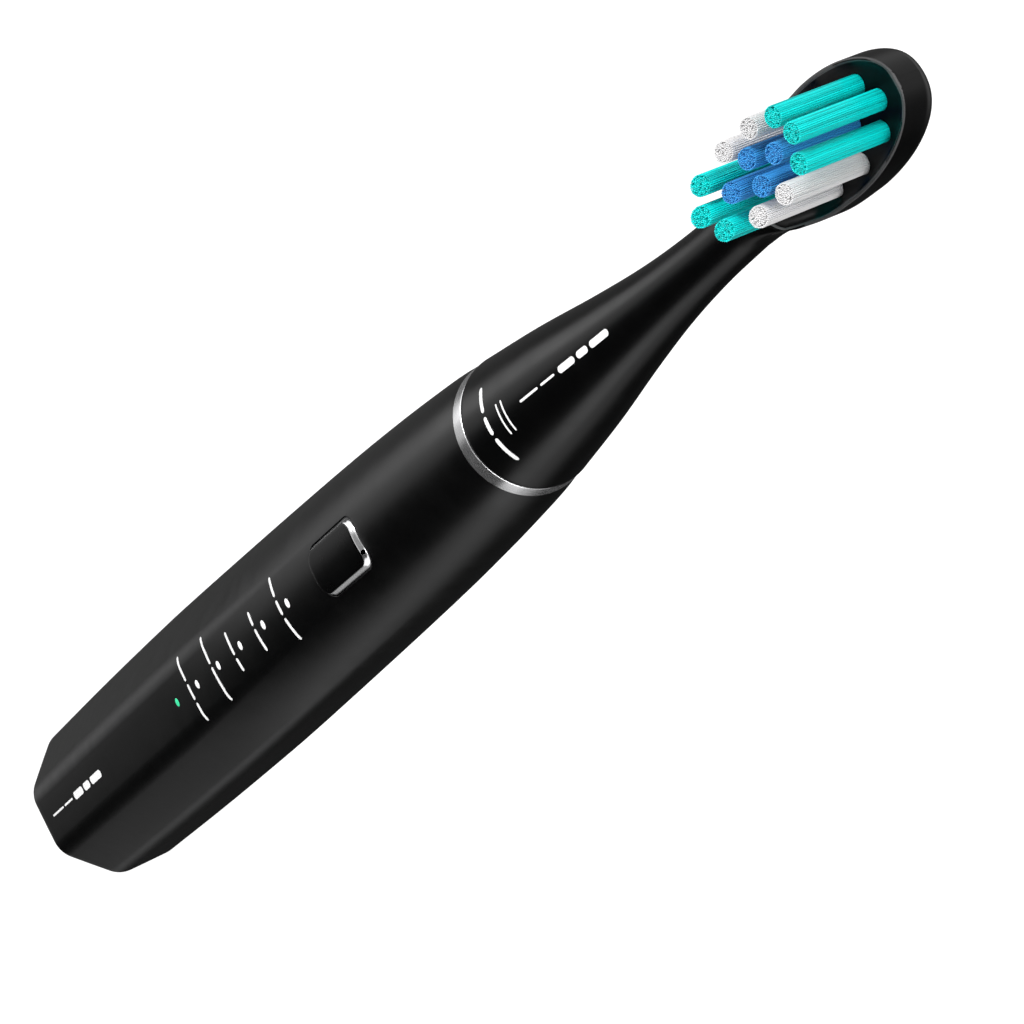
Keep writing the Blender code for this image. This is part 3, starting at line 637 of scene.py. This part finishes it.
LOOKS = {
    "shell": satin_black("satin_shell", (0.0008, 0.0008, 0.0009), 0.30, 0.35, 1.50),
    "head": satin_black("satin_head", (0.0008, 0.0008, 0.0009), 0.28, 0.33, 1.42),
    "dish": satin_black("satin_dish", (0.0010, 0.0012, 0.0014), 0.30, 0.38, 1.20),
    # the rim's grey colour is a painted highlight on the rounding round the dish
    "rim": satin_black("satin_rim", (0.055, 0.055, 0.056), 0.36, 0.44, 1.45),
    "plastic": moulded("black_moulding", (0.012, 0.012, 0.013), 0.42, 0.2),
    "gloss": satin_black("gloss_black", (0.0010, 0.0010, 0.0011), 0.26, 0.32, 1.36),
    "chrome": brushed("satin_chrome", (0.84, 0.84, 0.85), 0.24, AROUND, 0.9, lathe=0.7),
    "chrome_button": brushed("chrome_button", (0.82, 0.82, 0.83), 0.16, EVEN, 0.3, lathe=0.5),
    "pale": moulded("pale_moulding", (0.62, 0.63, 0.62), 0.5),
    "rubber": moulded("black_rubber", (0.03, 0.03, 0.032), 0.75, 0.35),
    "silicone": moulded("grey_silicone", (0.30, 0.31, 0.32), 0.62, 0.4),
    "steel": brushed("ground_steel", (0.60, 0.60, 0.61), 0.24, AROUND, 1.2),
    "magnet": brushed("plated_magnet", (0.38, 0.38, 0.40), 0.22, ALONG),
    "nickel": brushed("nickel_strip", (0.65, 0.62, 0.55), 0.32, ALONG),
    "bronze": sintered(),
    "copper": wound("copper_wire", (0.72, 0.28, 0.12), 0.22),
    "sleeve": battery_sleeve(),
    "board": board_mask(),
    "chip": moulded("led_chip", (0.85, 0.83, 0.70), 0.35, 0.15),
    "red": moulded("red_wire", (0.45, 0.02, 0.02), 0.42, 0.3),
    "yellow": moulded("yellow_wire", (0.60, 0.42, 0.03), 0.42, 0.3),
    "white_light": light_pipe("white_light", (0.80, 0.80, 0.80), 0.40),
    "green_light": light_pipe("green_light", (0.03, 0.50, 0.24), 0.55),
    "ink": printed(),
    # the second colour of each nylon is the darker tint: partly filament tone, partly painted shade
    # between filaments
    "teal": nylon("teal_nylon", (0.001, 0.68, 0.65), (0.001, 0.27, 0.26)),
    "blue": nylon("blue_nylon", (0.045, 0.31, 0.68), (0.015, 0.10, 0.32)),
    "white": nylon("white_nylon", (0.67, 0.66, 0.66), (0.60, 0.60, 0.61)),
}

CARRIED = {
    "pale": ("inner_frame", "motor_rear_cap", "motor_front_cap", "head_socket"),
    "rubber": ("base_seal", "button_seal"),
    "plastic": ("base_cap", "switch_plunger"),
    "copper": ("charging_coil", "stator_coil_left", "stator_coil_right"),
    "steel": ("motor_can", "stator_core", "tact_switch", "head_spring"),
    "magnet": ("rotor_magnet",),
    "nickel": ("battery_tab_lower", "battery_tab_upper"),
    "bronze": ("rear_bearing", "front_bearing"),
    "sleeve": ("battery_cell",),
    "board": ("main_board",),
    "chip": ("charge_led",) + tuple("mode_led_%d" % (i + 1) for i in range(5)),
    "red": ("motor_lead",),
    "yellow": ("coil_lead",),
}


def dress_nodes():
    """Procedural materials for the CAD nodes that stay."""
    for look, names in CARRIED.items():
        for name in names:
            node = NODES[name]
            for slot in node.material_slots:
                slot.link = "OBJECT"
                slot.material = LOOKS[look]


# --- Handle -----------------------------------------------------------------------------------

def light_heights():
    return [CHARGE_LIGHT_Z] + [MODE_LIGHT_Z + i * MODE_LIGHT_STEP for i in range(5)]


def opening_ring(offset, lift=0.0, level=None):
    """Outline of the button's opening, off the surface by a lift or at a fixed Y."""
    outline = pad_outline(BUTTON_WIDTH + 2 * BUTTON_GAP, BUTTON_LENGTH + 2 * BUTTON_GAP,
                          BUTTON_CORNER + BUTTON_GAP, offset)
    return [(x, handle_front(x, BUTTON_Z + z) - lift if level is None else level, BUTTON_Z + z)
            for x, z in outline]


def build_handle_skin():
    sections = []
    edge_steps = 6
    for i in range(edge_steps):
        angle = 0.5 * math.pi * i / edge_steps
        sections.append(handle_section(BASE_EDGE * (1.0 - math.cos(angle)),
                                       BASE_EDGE * (1.0 - math.sin(angle))))
    steps = 120
    for i in range(steps + 1):
        sections.append(handle_section(BASE_EDGE + (HANDLE_TOP - BASE_EDGE) * i / steps))
    skin = add_object("handle_skin", rings_mesh(sections))

    inner = [handle_section(z, WALL, 2, 4) for z in
             [CAP_BORE_DEPTH + (HANDLE_TOP - CAP_BORE_DEPTH) * i / 16.0 for i in range(17)]]
    inner.append([p + Vector((0.0, 0.0, 2.0)) for p in inner[-1]])
    cut(skin, rings_mesh(inner))
    bore = CAP_BORE_DEPTH + 1.0
    cut(skin, turned(((0.0, bore), (CAP_BORE, bore), (CAP_BORE, -1.0), (0.0, -1.0)), 96))

    outer = EDGE_BREAK + 0.5
    rings = [opening_ring(outer, level=-13.0), opening_ring(outer, lift=0.5)]
    rings += [opening_ring(EDGE_BREAK, lift=0.002), opening_ring(0.0, lift=-EDGE_BREAK)]
    rings.append(opening_ring(0.0, level=-6.5))
    cut(skin, rings_mesh(rings))

    for z in light_heights():
        front = handle_apothem(z)
        outline = ((0.0, front + 1.0), (LIGHT_RADIUS + 0.13, front + 1.0),
                   (LIGHT_RADIUS + 0.07, front), (LIGHT_RADIUS + 0.03, front - 0.04),
                   (LIGHT_RADIUS + 0.03, 6.0), (0.0, 6.0))
        cut(skin, turned(outline, 40, "Y", (0.0, 0.0, z)))
    smooth(skin.data, 28.0)
    show(skin, "handle", "black_shell", LOOKS["shell"], "handle_shell")


def build_windows():
    names = ["charge_window"] + ["mode_window_%d" % (i + 1) for i in range(5)]
    for name, z in zip(names, light_heights()):
        front = handle_apothem(z) + 0.02
        shoulder = handle_apothem(z) - WALL - 0.35
        outline = [(0.0, front), (0.5 * LIGHT_RADIUS, front - 0.012)]
        outline += arc((LIGHT_RADIUS - 0.1, front - 0.12), 0.1, 75, 0, 4)
        outline += [(LIGHT_RADIUS, shoulder), (1.1, shoulder), (1.1, shoulder - 0.5),
                    (LIGHT_RADIUS, shoulder - 0.5), (LIGHT_RADIUS, -BOARD_FRONT + 0.75),
                    (0.0, -BOARD_FRONT + 0.75)]
        pipe = add_object(name.replace("window", "lens"), turned(outline, 36, "Y", (0.0, 0.0, z)))
        colour = "green" if name == "charge_window" else "white"
        show(pipe, "handle", colour + "_window", LOOKS[colour + "_light"], name)


def build_ring():
    low, high = HANDLE_TOP + 0.02, RING_TOP
    outline = [(6.60, high - 0.03), (6.60, low), (7.77, low), (7.80, low + 0.03)]
    outline += [(7.78, low + 0.4), (7.735, low + 1.0)]
    outline += arc((7.58, high - 0.10), 0.10, 0, 90, 6)
    ring = add_object("ring_band", turned(outline, 256))
    show(ring, "handle", "chrome", LOOKS["chrome"], "trim_ring")


def build_nose():
    top = HANDLE_TOP
    outline = ((6.4, 169.0), (6.4, top + 0.05), (5.9, top - 0.05), (5.9, 146.5), (5.2, 146.5),
               (5.2, 158.0), (2.4, 158.0), (2.4, 167.9), (4.5, 167.9), (4.5, 168.9), (4.6, 169.0))
    housing = add_object("nose_housing", turned(outline, 96))
    show(housing, "handle", "black_plastic", LOOKS["plastic"], "shaft_housing")

    boot = [(2.15, 171.0), (2.15, 168.0), (4.35, 168.0), (4.35, 168.85)]
    boot += [(4.1, 169.05), (3.75, 169.25), (3.4, 169.5), (3.2, 169.9), (3.0, 170.4), (2.8, 170.8)]
    boot += [(2.62, 171.12), (2.5, 171.18), (2.3, 171.14)]
    seal = add_object("nose_boot", turned(boot, 96))
    show(seal, "handle", "grey_rubber", LOOKS["silicone"], "shaft_seal")


def build_spindle():
    top = SPINDLE_TOP
    outline = [(0.0, top)] + arc((SPINDLE_RADIUS - 0.45, top - 0.45), 0.45, 90, 10, 6)
    outline += [(SPINDLE_RADIUS, top - 0.7), (SPINDLE_RADIUS, 155.0), (SHAFT_RADIUS, 154.6),
                (SHAFT_RADIUS, 118.7), (SHAFT_RADIUS - 0.1, 118.6), (0.0, 118.6)]
    spindle = add_object("spindle", turned(outline, 64))
    cut(spindle, box_mesh((-3.0, 3.0), (-4.0, -1.15), (top - 11.0, top + 1.0)))
    smooth(spindle.data, 30.0)
    show(spindle, "shaft", "steel", LOOKS["steel"], "drive_shaft")


# --- Button -----------------------------------------------------------------------------------

def button_ring(inset, depth, share=1.0, flat=False):
    """The button's outline drawn in by an inset.

    Depth is measured back from the bowed top, or is Y itself on a flat ring.
    """
    ring = []
    for x, z in pad_outline(BUTTON_WIDTH, BUTTON_LENGTH, BUTTON_CORNER, -inset):
        x, z = share * x, BUTTON_Z + share * z
        ring.append((x, depth if flat else handle_front(x, z) - BUTTON_RISE + depth, z))
    return ring


def build_button():
    level = -handle_apothem(BUTTON_Z)
    stem = ((0.0, BUTTON_BACK), (0.0, level + 1.4), (0.5, level + 1.4), (0.5, level + 0.9),
            (0.0, level + 0.9))
    rings = [button_ring(inset, depth, flat=True) for inset, depth in stem]
    slant = BUTTON_BEVEL_DEPTH / BUTTON_BEVEL
    for inset in (-0.025, 0.02, 0.12, 0.26, 0.345):      # a flat bevel between broken edges
        rings.append(button_ring(max(inset, 0.0), BUTTON_BEVEL_DEPTH - slant * inset))
    rings.append(button_ring(BUTTON_BEVEL - 0.005, 0.022))
    trim = BUTTON_BEVEL + 0.02
    rings += [button_ring(trim, 0.005), button_ring(trim, level + 0.45, flat=True)]
    body = add_object("button_frame", rings_mesh(rings))
    for end in (-1.0, 1.0):
        low, high = sorted((BUTTON_Z + end * 5.2, BUTTON_Z + end * 7.7))
        cut(body, box_mesh((-1.5, 1.5), (BUTTON_BACK - 0.35, -6.95), (low, high)), "UNION")
    smooth(body.data, 28.0)
    show(body, "button", "chrome", LOOKS["chrome_button"], "button_body")

    trim += 0.02
    rings = [button_ring(trim, level + 0.43, flat=True), button_ring(trim, 0.03)]
    rings += [button_ring(trim + 0.02, -0.005), button_ring(trim + 0.07, -0.02)]
    shares = (0.93, 0.82, 0.66, 0.5, 0.34, 0.17, 0.05)
    rings += [button_ring(trim + 0.07, -0.02, share) for share in shares]
    inlay = add_object("button_top", rings_mesh(rings))
    show(inlay, "button", "black_gloss", LOOKS["gloss"], "button_inlay")


# --- Brush head -------------------------------------------------------------------------------

def head_heights():
    neck = [HEAD_GAP, HEAD_GAP + 0.04, HEAD_GAP + 0.12] + [0.8 * i for i in range(1, 64)]
    shoulder = [NECK_END + 0.4 * i for i in range(0, 44)]
    tip = [HEAD_WIDEST + (HEAD_LENGTH - HEAD_WIDEST) * math.sin(0.5 * math.pi * i / 44.0)
           for i in range(1, 44)]
    return neck + shoulder + tip + [HEAD_LENGTH - 0.01]


def build_head_skin():
    sections = []
    for h in head_heights():
        section = head_section(h)
        if h <= HEAD_GAP + 0.11:     # the lower edge is slightly broken
            shrink = 1.0 - (0.10 if h <= HEAD_GAP else 0.03) / half_width(h)
            section = [(x * shrink, y * shrink, z) for x, y, z in section]
        sections.append(section)
    skin = add_object("head_skin", rings_mesh(sections))

    depth = FACE_Y - FLOOR_Y
    profile = ((-0.35, 1.5), (-0.10, 0.25), (-0.07, 0.02), (-0.03, -0.03), (0.03, -0.10),
               (0.09, -0.20), (0.15, -0.35), (0.24, -0.50), (0.36, -0.66), (0.5, -0.80),
               (0.7, -0.92), (0.95, -0.98), (1.2, -1.0))
    dish = []
    for inset, part in profile:
        y = FACE_Y - part if part > 1.0 else FACE_Y + part * depth
        dish.append(rim_outline(inset, y))
    cut(skin, rings_mesh(dish))

    low = RING_TOP
    socket = ((0.0, low + 24.0), (3.3, low + 24.0), (3.3, low + 7.0), (5.3, low + 6.0),
              (6.3, low - 1.0), (0.0, low - 1.0))
    cut(skin, turned(socket, 72))
    for offset, places, _ in TUFT_ROWS:
        for x in places:
            hole = ((0.0, 4.0), (TUFT_RADIUS + 0.04, 4.0), (TUFT_RADIUS + 0.04, -TUFT_ROOT - 0.1),
                    (0.0, -TUFT_ROOT - 0.1))
            cut(skin, turned(hole, 30, "Y", (x, 0.0, FIELD_Z + offset)))
    smooth(skin.data, 32.0)
    show(skin, "brush_head", "black_head", LOOKS["head"], "head_shell")
    skin.data.materials.append(LOOKS["dish"])
    skin.data.materials.append(LOOKS["rim"])
    # Faces inside the dish get the dish finish; those in the band round it get the grey rim
    # material, a painted highlight on the rim's rounding.
    for face in skin.data.polygons:
        x, y, z = (c / MM for c in face.center)
        h = z - RING_TOP
        if face.normal.y > -0.05 or h <= RIM_CENTRE - RIM_DOWN:
            continue
        inside = h < RIM_CENTRE + RIM_UP and abs(x) < drawn_in(h, LIP - 0.1)
        if inside and FACE_Y + RIM_HIGHLIGHT_BAND < y < 0.0:
            face.material_index = 1
        elif FACE_Y - 0.01 < y <= FACE_Y + RIM_HIGHLIGHT_BAND:
            face.material_index = 2


def strand_places(rng):
    """Filaments spread evenly over the tuft inside a closed outer ring."""
    reach = TUFT_RADIUS - STRAND_RADIUS
    places = []
    for i in range(STRANDS):
        angle, out = GOLDEN_ANGLE * i, 0.85 * reach * math.sqrt((i + 0.4) / STRANDS)
        places.append((out * math.cos(angle) + rng.uniform(-0.010, 0.010),
                       out * math.sin(angle) + rng.uniform(-0.010, 0.010)))
    for i in range(RING_STRANDS):
        angle, out = 2.0 * math.pi * i / RING_STRANDS, reach - rng.uniform(0.0, 0.02)
        places.append((out * math.cos(angle), out * math.sin(angle)))
    return places


def build_tuft(name, node, x, offset, colour, seed):
    """Bundle of round-ended filaments, cut to the brush's hollow profile."""
    rng = random.Random(seed)
    slant = TUFT_SLANT + TUFT_SLANT_STEP * offset
    tip = TUFT_TIP + TUFT_RISE * offset**2 + 0.3 * slant
    verts, faces, shades = [], [], []
    for px, pz in strand_places(rng):
        reach = tip - slant * pz + rng.uniform(-0.02, 0.02)
        if math.hypot(px, pz) < 0.8 * TUFT_RADIUS and rng.random() < 0.2:
            reach -= rng.uniform(0.06, 0.26)
        splay = rng.uniform(0.0, 0.012)
        lean = (px * splay + rng.uniform(-0.01, 0.01), pz * splay + rng.uniform(-0.01, 0.01))
        radius = STRAND_RADIUS * rng.uniform(0.96, 1.03)
        twist = rng.uniform(0.0, math.pi)
        # each filament's share of the darker tint, partly its own tone and partly painted shade
        # between filaments
        shade = rng.random() ** 1.3
        start = len(verts)
        span = reach + TUFT_ROOT
        levels = ((0.0, 1.0), (0.45, 1.0), (1.0 - 0.07 / span, 1.0), (1.0 - 0.02 / span, 0.72))
        for share, size in levels:
            for k in range(STRAND_SIDES):
                angle = twist + 2.0 * math.pi * k / STRAND_SIDES
                verts.append(((x + px + lean[0] * share**2 + size * radius * math.cos(angle)) * MM,
                              (TUFT_ROOT - span * share) * MM,
                              (FIELD_Z + offset + pz + lean[1] * share**2
                               + size * radius * math.sin(angle)) * MM))
        verts.append(((x + px + lean[0]) * MM, -reach * MM, (FIELD_Z + offset + pz + lean[1]) * MM))
        for level in range(len(levels) - 1):
            for k in range(STRAND_SIDES):
                a = start + level * STRAND_SIDES + k
                b = start + level * STRAND_SIDES + (k + 1) % STRAND_SIDES
                faces.append((a, b, b + STRAND_SIDES, a + STRAND_SIDES))
        last = start + (len(levels) - 1) * STRAND_SIDES
        for k in range(STRAND_SIDES):
            faces.append((last + k, last + (k + 1) % STRAND_SIDES, len(verts) - 1))
        faces.append(tuple(start + k for k in reversed(range(STRAND_SIDES))))
        shades.extend([shade] * (len(verts) - start))
    mesh = bpy.data.meshes.new(name)
    mesh.from_pydata(verts, [], faces)
    strand_tone_and_shade = mesh.attributes.new("strand_tone_and_shade", "FLOAT", "POINT")
    strand_tone_and_shade.data.foreach_set("value", shades)
    bm = bmesh.new()
    bm.from_mesh(mesh)
    bmesh.ops.recalc_face_normals(bm, faces=bm.faces)
    bm.to_mesh(mesh)
    bm.free()
    smooth(mesh, 50.0)
    tuft = bpy.data.objects.new(name, mesh)
    bpy.context.scene.collection.objects.link(tuft)
    show(tuft, "brush_head", colour + "_bristle", LOOKS[colour], node)


def build_tufts():
    seed = 11
    for row, (offset, places, colour) in enumerate(TUFT_ROWS):
        for x in places:
            side = "" if x == 0.0 else ("_left" if x < 0.0 else "_right")
            name = "%d%s" % (row + 1, side)
            build_tuft("bristles_" + name, "tuft_" + name, x, offset, colour, seed)
            seed += 1


# --- Printing: plain bars in place of all wording ------------------------------------

def neck_front(x, z):
    """Depth of the round neck's surface near the middle of its front."""
    radius = half_width(z - RING_TOP)
    return -math.sqrt(max(radius**2 - x**2, 0.0))


def ink_bar(bm, surface, centre, length, height, along="X"):
    """A stadium-shaped printed bar laid on a surface, as a thin closed body."""
    steps = max(int(length / 0.2), 8)
    radius = min(0.5 * height, 0.5 * length)
    columns = []
    for i in range(steps + 1):
        s = -0.5 * length + length * (0.5 - 0.5 * math.cos(math.pi * i / steps))
        end = max(abs(s) - (0.5 * length - radius), 0.0)
        half = max(0.5 * height * math.sqrt(max(1.0 - (end / radius)**2, 0.0)), 0.02)
        column = []
        for t in (-half, 0.0, half):
            shift_x, shift_z = (s, t) if along == "X" else (t, s)
            x, z = centre[0] + shift_x, centre[1] + shift_z
            column.append((x, surface(x, z), z))
        columns.append(column)
    layers = []
    for shift in (-INK_LIFT, INK_DEPTH):
        layers.append([[bm.verts.new((x, y + shift, z)) for x, y, z in column]
                       for column in columns])
    top, bottom = layers
    for i in range(steps):
        for layer in layers:
            for r in range(2):
                bm.faces.new((layer[i][r], layer[i + 1][r], layer[i + 1][r + 1], layer[i][r + 1]))
        for r in (0, 2):
            bm.faces.new((top[i][r], top[i + 1][r], bottom[i + 1][r], bottom[i][r]))
    for i in (0, steps):
        for r in range(2):
            bm.faces.new((top[i][r], top[i][r + 1], bottom[i][r + 1], bottom[i][r]))


def ink_row(bm, surface, start, end, across, lengths, height, gap, along="X"):
    """A row of bars from start to end, its lengths in the given proportions."""
    share = (end - start - gap * (len(lengths) - 1)) / sum(lengths)
    at = start
    for length in lengths:
        size = length * share
        middle = at + 0.5 * size
        centre = (middle, across) if along == "X" else (across, middle)
        ink_bar(bm, surface, centre, size, height, along)
        at += size + gap


def build_prints():
    labels = (
        (-4.8, 4.6, 78.5, (3, 2, 2.4)),
        (-4.6, 4.6, 88.3, (2.4, 3.2)),
        (-2.7, 2.8, 96.6, (2, 1.2)),
        (-2.6, 2.8, 105.6, (1.2, 2)),
        (-4.1, 4.4, 114.7, (2, 1.6, 2.6)),
    )
    for i, (start, end, z, lengths) in enumerate(labels):
        bm = bmesh.new()
        ink_row(bm, handle_front, start, end, z, lengths, 0.62, 0.45)
        show(add_object("print_mode_%d" % (i + 1), bm), "handle", "white_window", LOOKS["ink"])

    bm = bmesh.new()
    ink_row(bm, handle_front, 18.6, 33.8, 0.0, (3, 2, 3.4), 1.15, 0.8, "Z")
    ink_row(bm, handle_front, 5.6, 17.4, 0.0, (4, 3), 0.3, 0.8, "Z")
    show(add_object("print_handle", bm), "handle", "white_window", LOOKS["ink"])

    bm = bmesh.new()
    low = RING_TOP
    ink_row(bm, neck_front, low + 19.0, low + 28.4, -0.1, (3, 2, 3.4), 0.75, 0.5, "Z")
    ink_row(bm, neck_front, low + 11.4, low + 18.2, -0.1, (4, 3), 0.25, 0.6, "Z")
    show(add_object("print_neck", bm), "brush_head", "white_window", LOOKS["ink"])

    bm = bmesh.new()
    ink_row(bm, neck_front, -4.2, 4.2, low + 4.7, (2.2, 1.8, 2.6), 0.6, 0.45)
    ink_row(bm, neck_front, -1.6, 1.9, low + 7.3, (1,), 0.25, 0.5)
    ink_row(bm, neck_front, -1.6, 1.9, low + 8.3, (1,), 0.25, 0.5)
    show(add_object("print_firmness", bm), "brush_head", "white_window", LOOKS["ink"])


# --- Camera, floor and light ------------------------------------------------------------------

def build_camera():
    data = bpy.data.cameras.new("camera")
    data.lens = CAMERA_LENS
    data.sensor_width = 36.0
    data.clip_start = 0.01
    camera = bpy.data.objects.new("camera", data)
    bpy.context.scene.collection.objects.link(camera)
    at, aim = Vector(CAMERA_AT) * MM, Vector(CAMERA_AIM) * MM
    camera.location = at
    camera.rotation_mode = "QUATERNION"
    roll = Quaternion((0.0, 0.0, 1.0), math.radians(CAMERA_ROLL))
    camera.rotation_quaternion = (aim - at).to_track_quat("-Z", "Y") @ roll
    bpy.context.scene.camera = camera


def plain_stage(name, glow, diffuse):
    """An even white surface that also gives off light."""
    mat = bpy.data.materials.new(name)
    mat.use_nodes = True
    shader = mat.node_tree.nodes["Principled BSDF"]
    shader.inputs["Base Color"].default_value = (diffuse, diffuse, diffuse, 1.0)
    shader.inputs["Roughness"].default_value = 1.0
    shader.inputs["Specular IOR Level"].default_value = 0.0
    shader.inputs["Emission Color"].default_value = (1.0, 1.0, 1.0, 1.0)
    shader.inputs["Emission Strength"].default_value = glow
    return mat


def build_stage():
    """A pale floor and a pale backdrop; neither mirrors in the black plastic."""
    bm = bmesh.new()
    bmesh.ops.create_circle(bm, cap_ends=True, segments=96, radius=6000.0)
    floor = add_object("floor", bm)
    floor.data.materials.append(plain_stage("floor", 0.90, 0.30))
    floor.location.z = -0.0001
    floor.visible_glossy = False
    floor.visible_shadow = False

    bm = bmesh.new()
    bmesh.ops.create_uvsphere(bm, u_segments=48, v_segments=24, radius=5900.0)
    backdrop = add_object("backdrop", bm)
    backdrop.data.materials.append(plain_stage("backdrop", 1.0, 0.0))
    for flag in ("visible_glossy", "visible_shadow", "visible_diffuse", "visible_transmission"):
        setattr(backdrop, flag, False)


def build_world():
    """Soft studio: tall softboxes on both sides, a weak one in front, a dark room."""
    world = bpy.data.worlds.new("studio")
    bpy.context.scene.world = world
    world.use_nodes = True
    tree = world.node_tree
    link = tree.links.new

    def maths(operation, *values):
        node = tree.nodes.new("ShaderNodeMath")
        node.operation = operation
        for socket, value in zip(node.inputs, values):
            if isinstance(value, float):
                socket.default_value = value
            else:
                link(value, socket)
        return node.outputs[0]

    def eased(value, start, end, low, high):
        node = tree.nodes.new("ShaderNodeMapRange")
        node.interpolation_type = "SMOOTHSTEP"
        link(value, node.inputs["Value"])
        for socket, number in zip(node.inputs[1:5], (start, end, low, high)):
            socket.default_value = number
        return node.outputs["Result"]

    split = tree.nodes.new("ShaderNodeSeparateXYZ")
    link(tree.nodes.new("ShaderNodeTexCoord").outputs["Generated"], split.inputs[0])
    azimuth = maths("ARCTAN2", split.outputs["X"], maths("MULTIPLY", split.outputs["Y"], -1.0))
    total = None
    for middle, half, soft, low, high, bottom, top in SOFTBOXES:
        turn = maths("WRAP", maths("SUBTRACT", azimuth, math.radians(middle)), math.pi, -math.pi)
        edge = math.radians(half), math.radians(half + soft)
        across = eased(maths("ABSOLUTE", turn), *edge, 1.0, 0.0)
        upward = eased(split.outputs["Z"], bottom, top, low, high)
        box = maths("MULTIPLY", across, upward)
        total = maths("ADD", box, AMBIENT if total is None else total)
    link(total, tree.nodes["Background"].inputs["Strength"])
    tree.nodes["Background"].inputs["Color"].default_value = (1.0, 1.0, 1.0, 1.0)


def area_light(name, at, aim, size, power):
    data = bpy.data.lights.new(name, "AREA")
    data.shape = "RECTANGLE"
    data.size, data.size_y = size
    data.energy = power
    light = bpy.data.objects.new(name, data)
    bpy.context.scene.collection.objects.link(light)
    light.location = Vector(at)
    light.rotation_mode = "QUATERNION"
    light.rotation_quaternion = (Vector(aim) - Vector(at)).to_track_quat("-Z", "Y")


def build_lights():
    aim = (0.0, 0.0, 0.15)
    area_light("key", (-0.49, -0.51, 0.857), aim, (0.28, 0.28), 6.6)
    area_light("fill", (0.36, -0.24, 1.15), aim, (0.6, 0.6), 5.8)


dress_nodes()
build_handle_skin()
build_windows()
build_ring()
build_nose()
build_spindle()
build_button()
build_head_skin()
build_tufts()
build_prints()
build_camera()
build_stage()
build_world()
build_lights()
bpy.context.scene.view_settings.view_transform = "Standard"
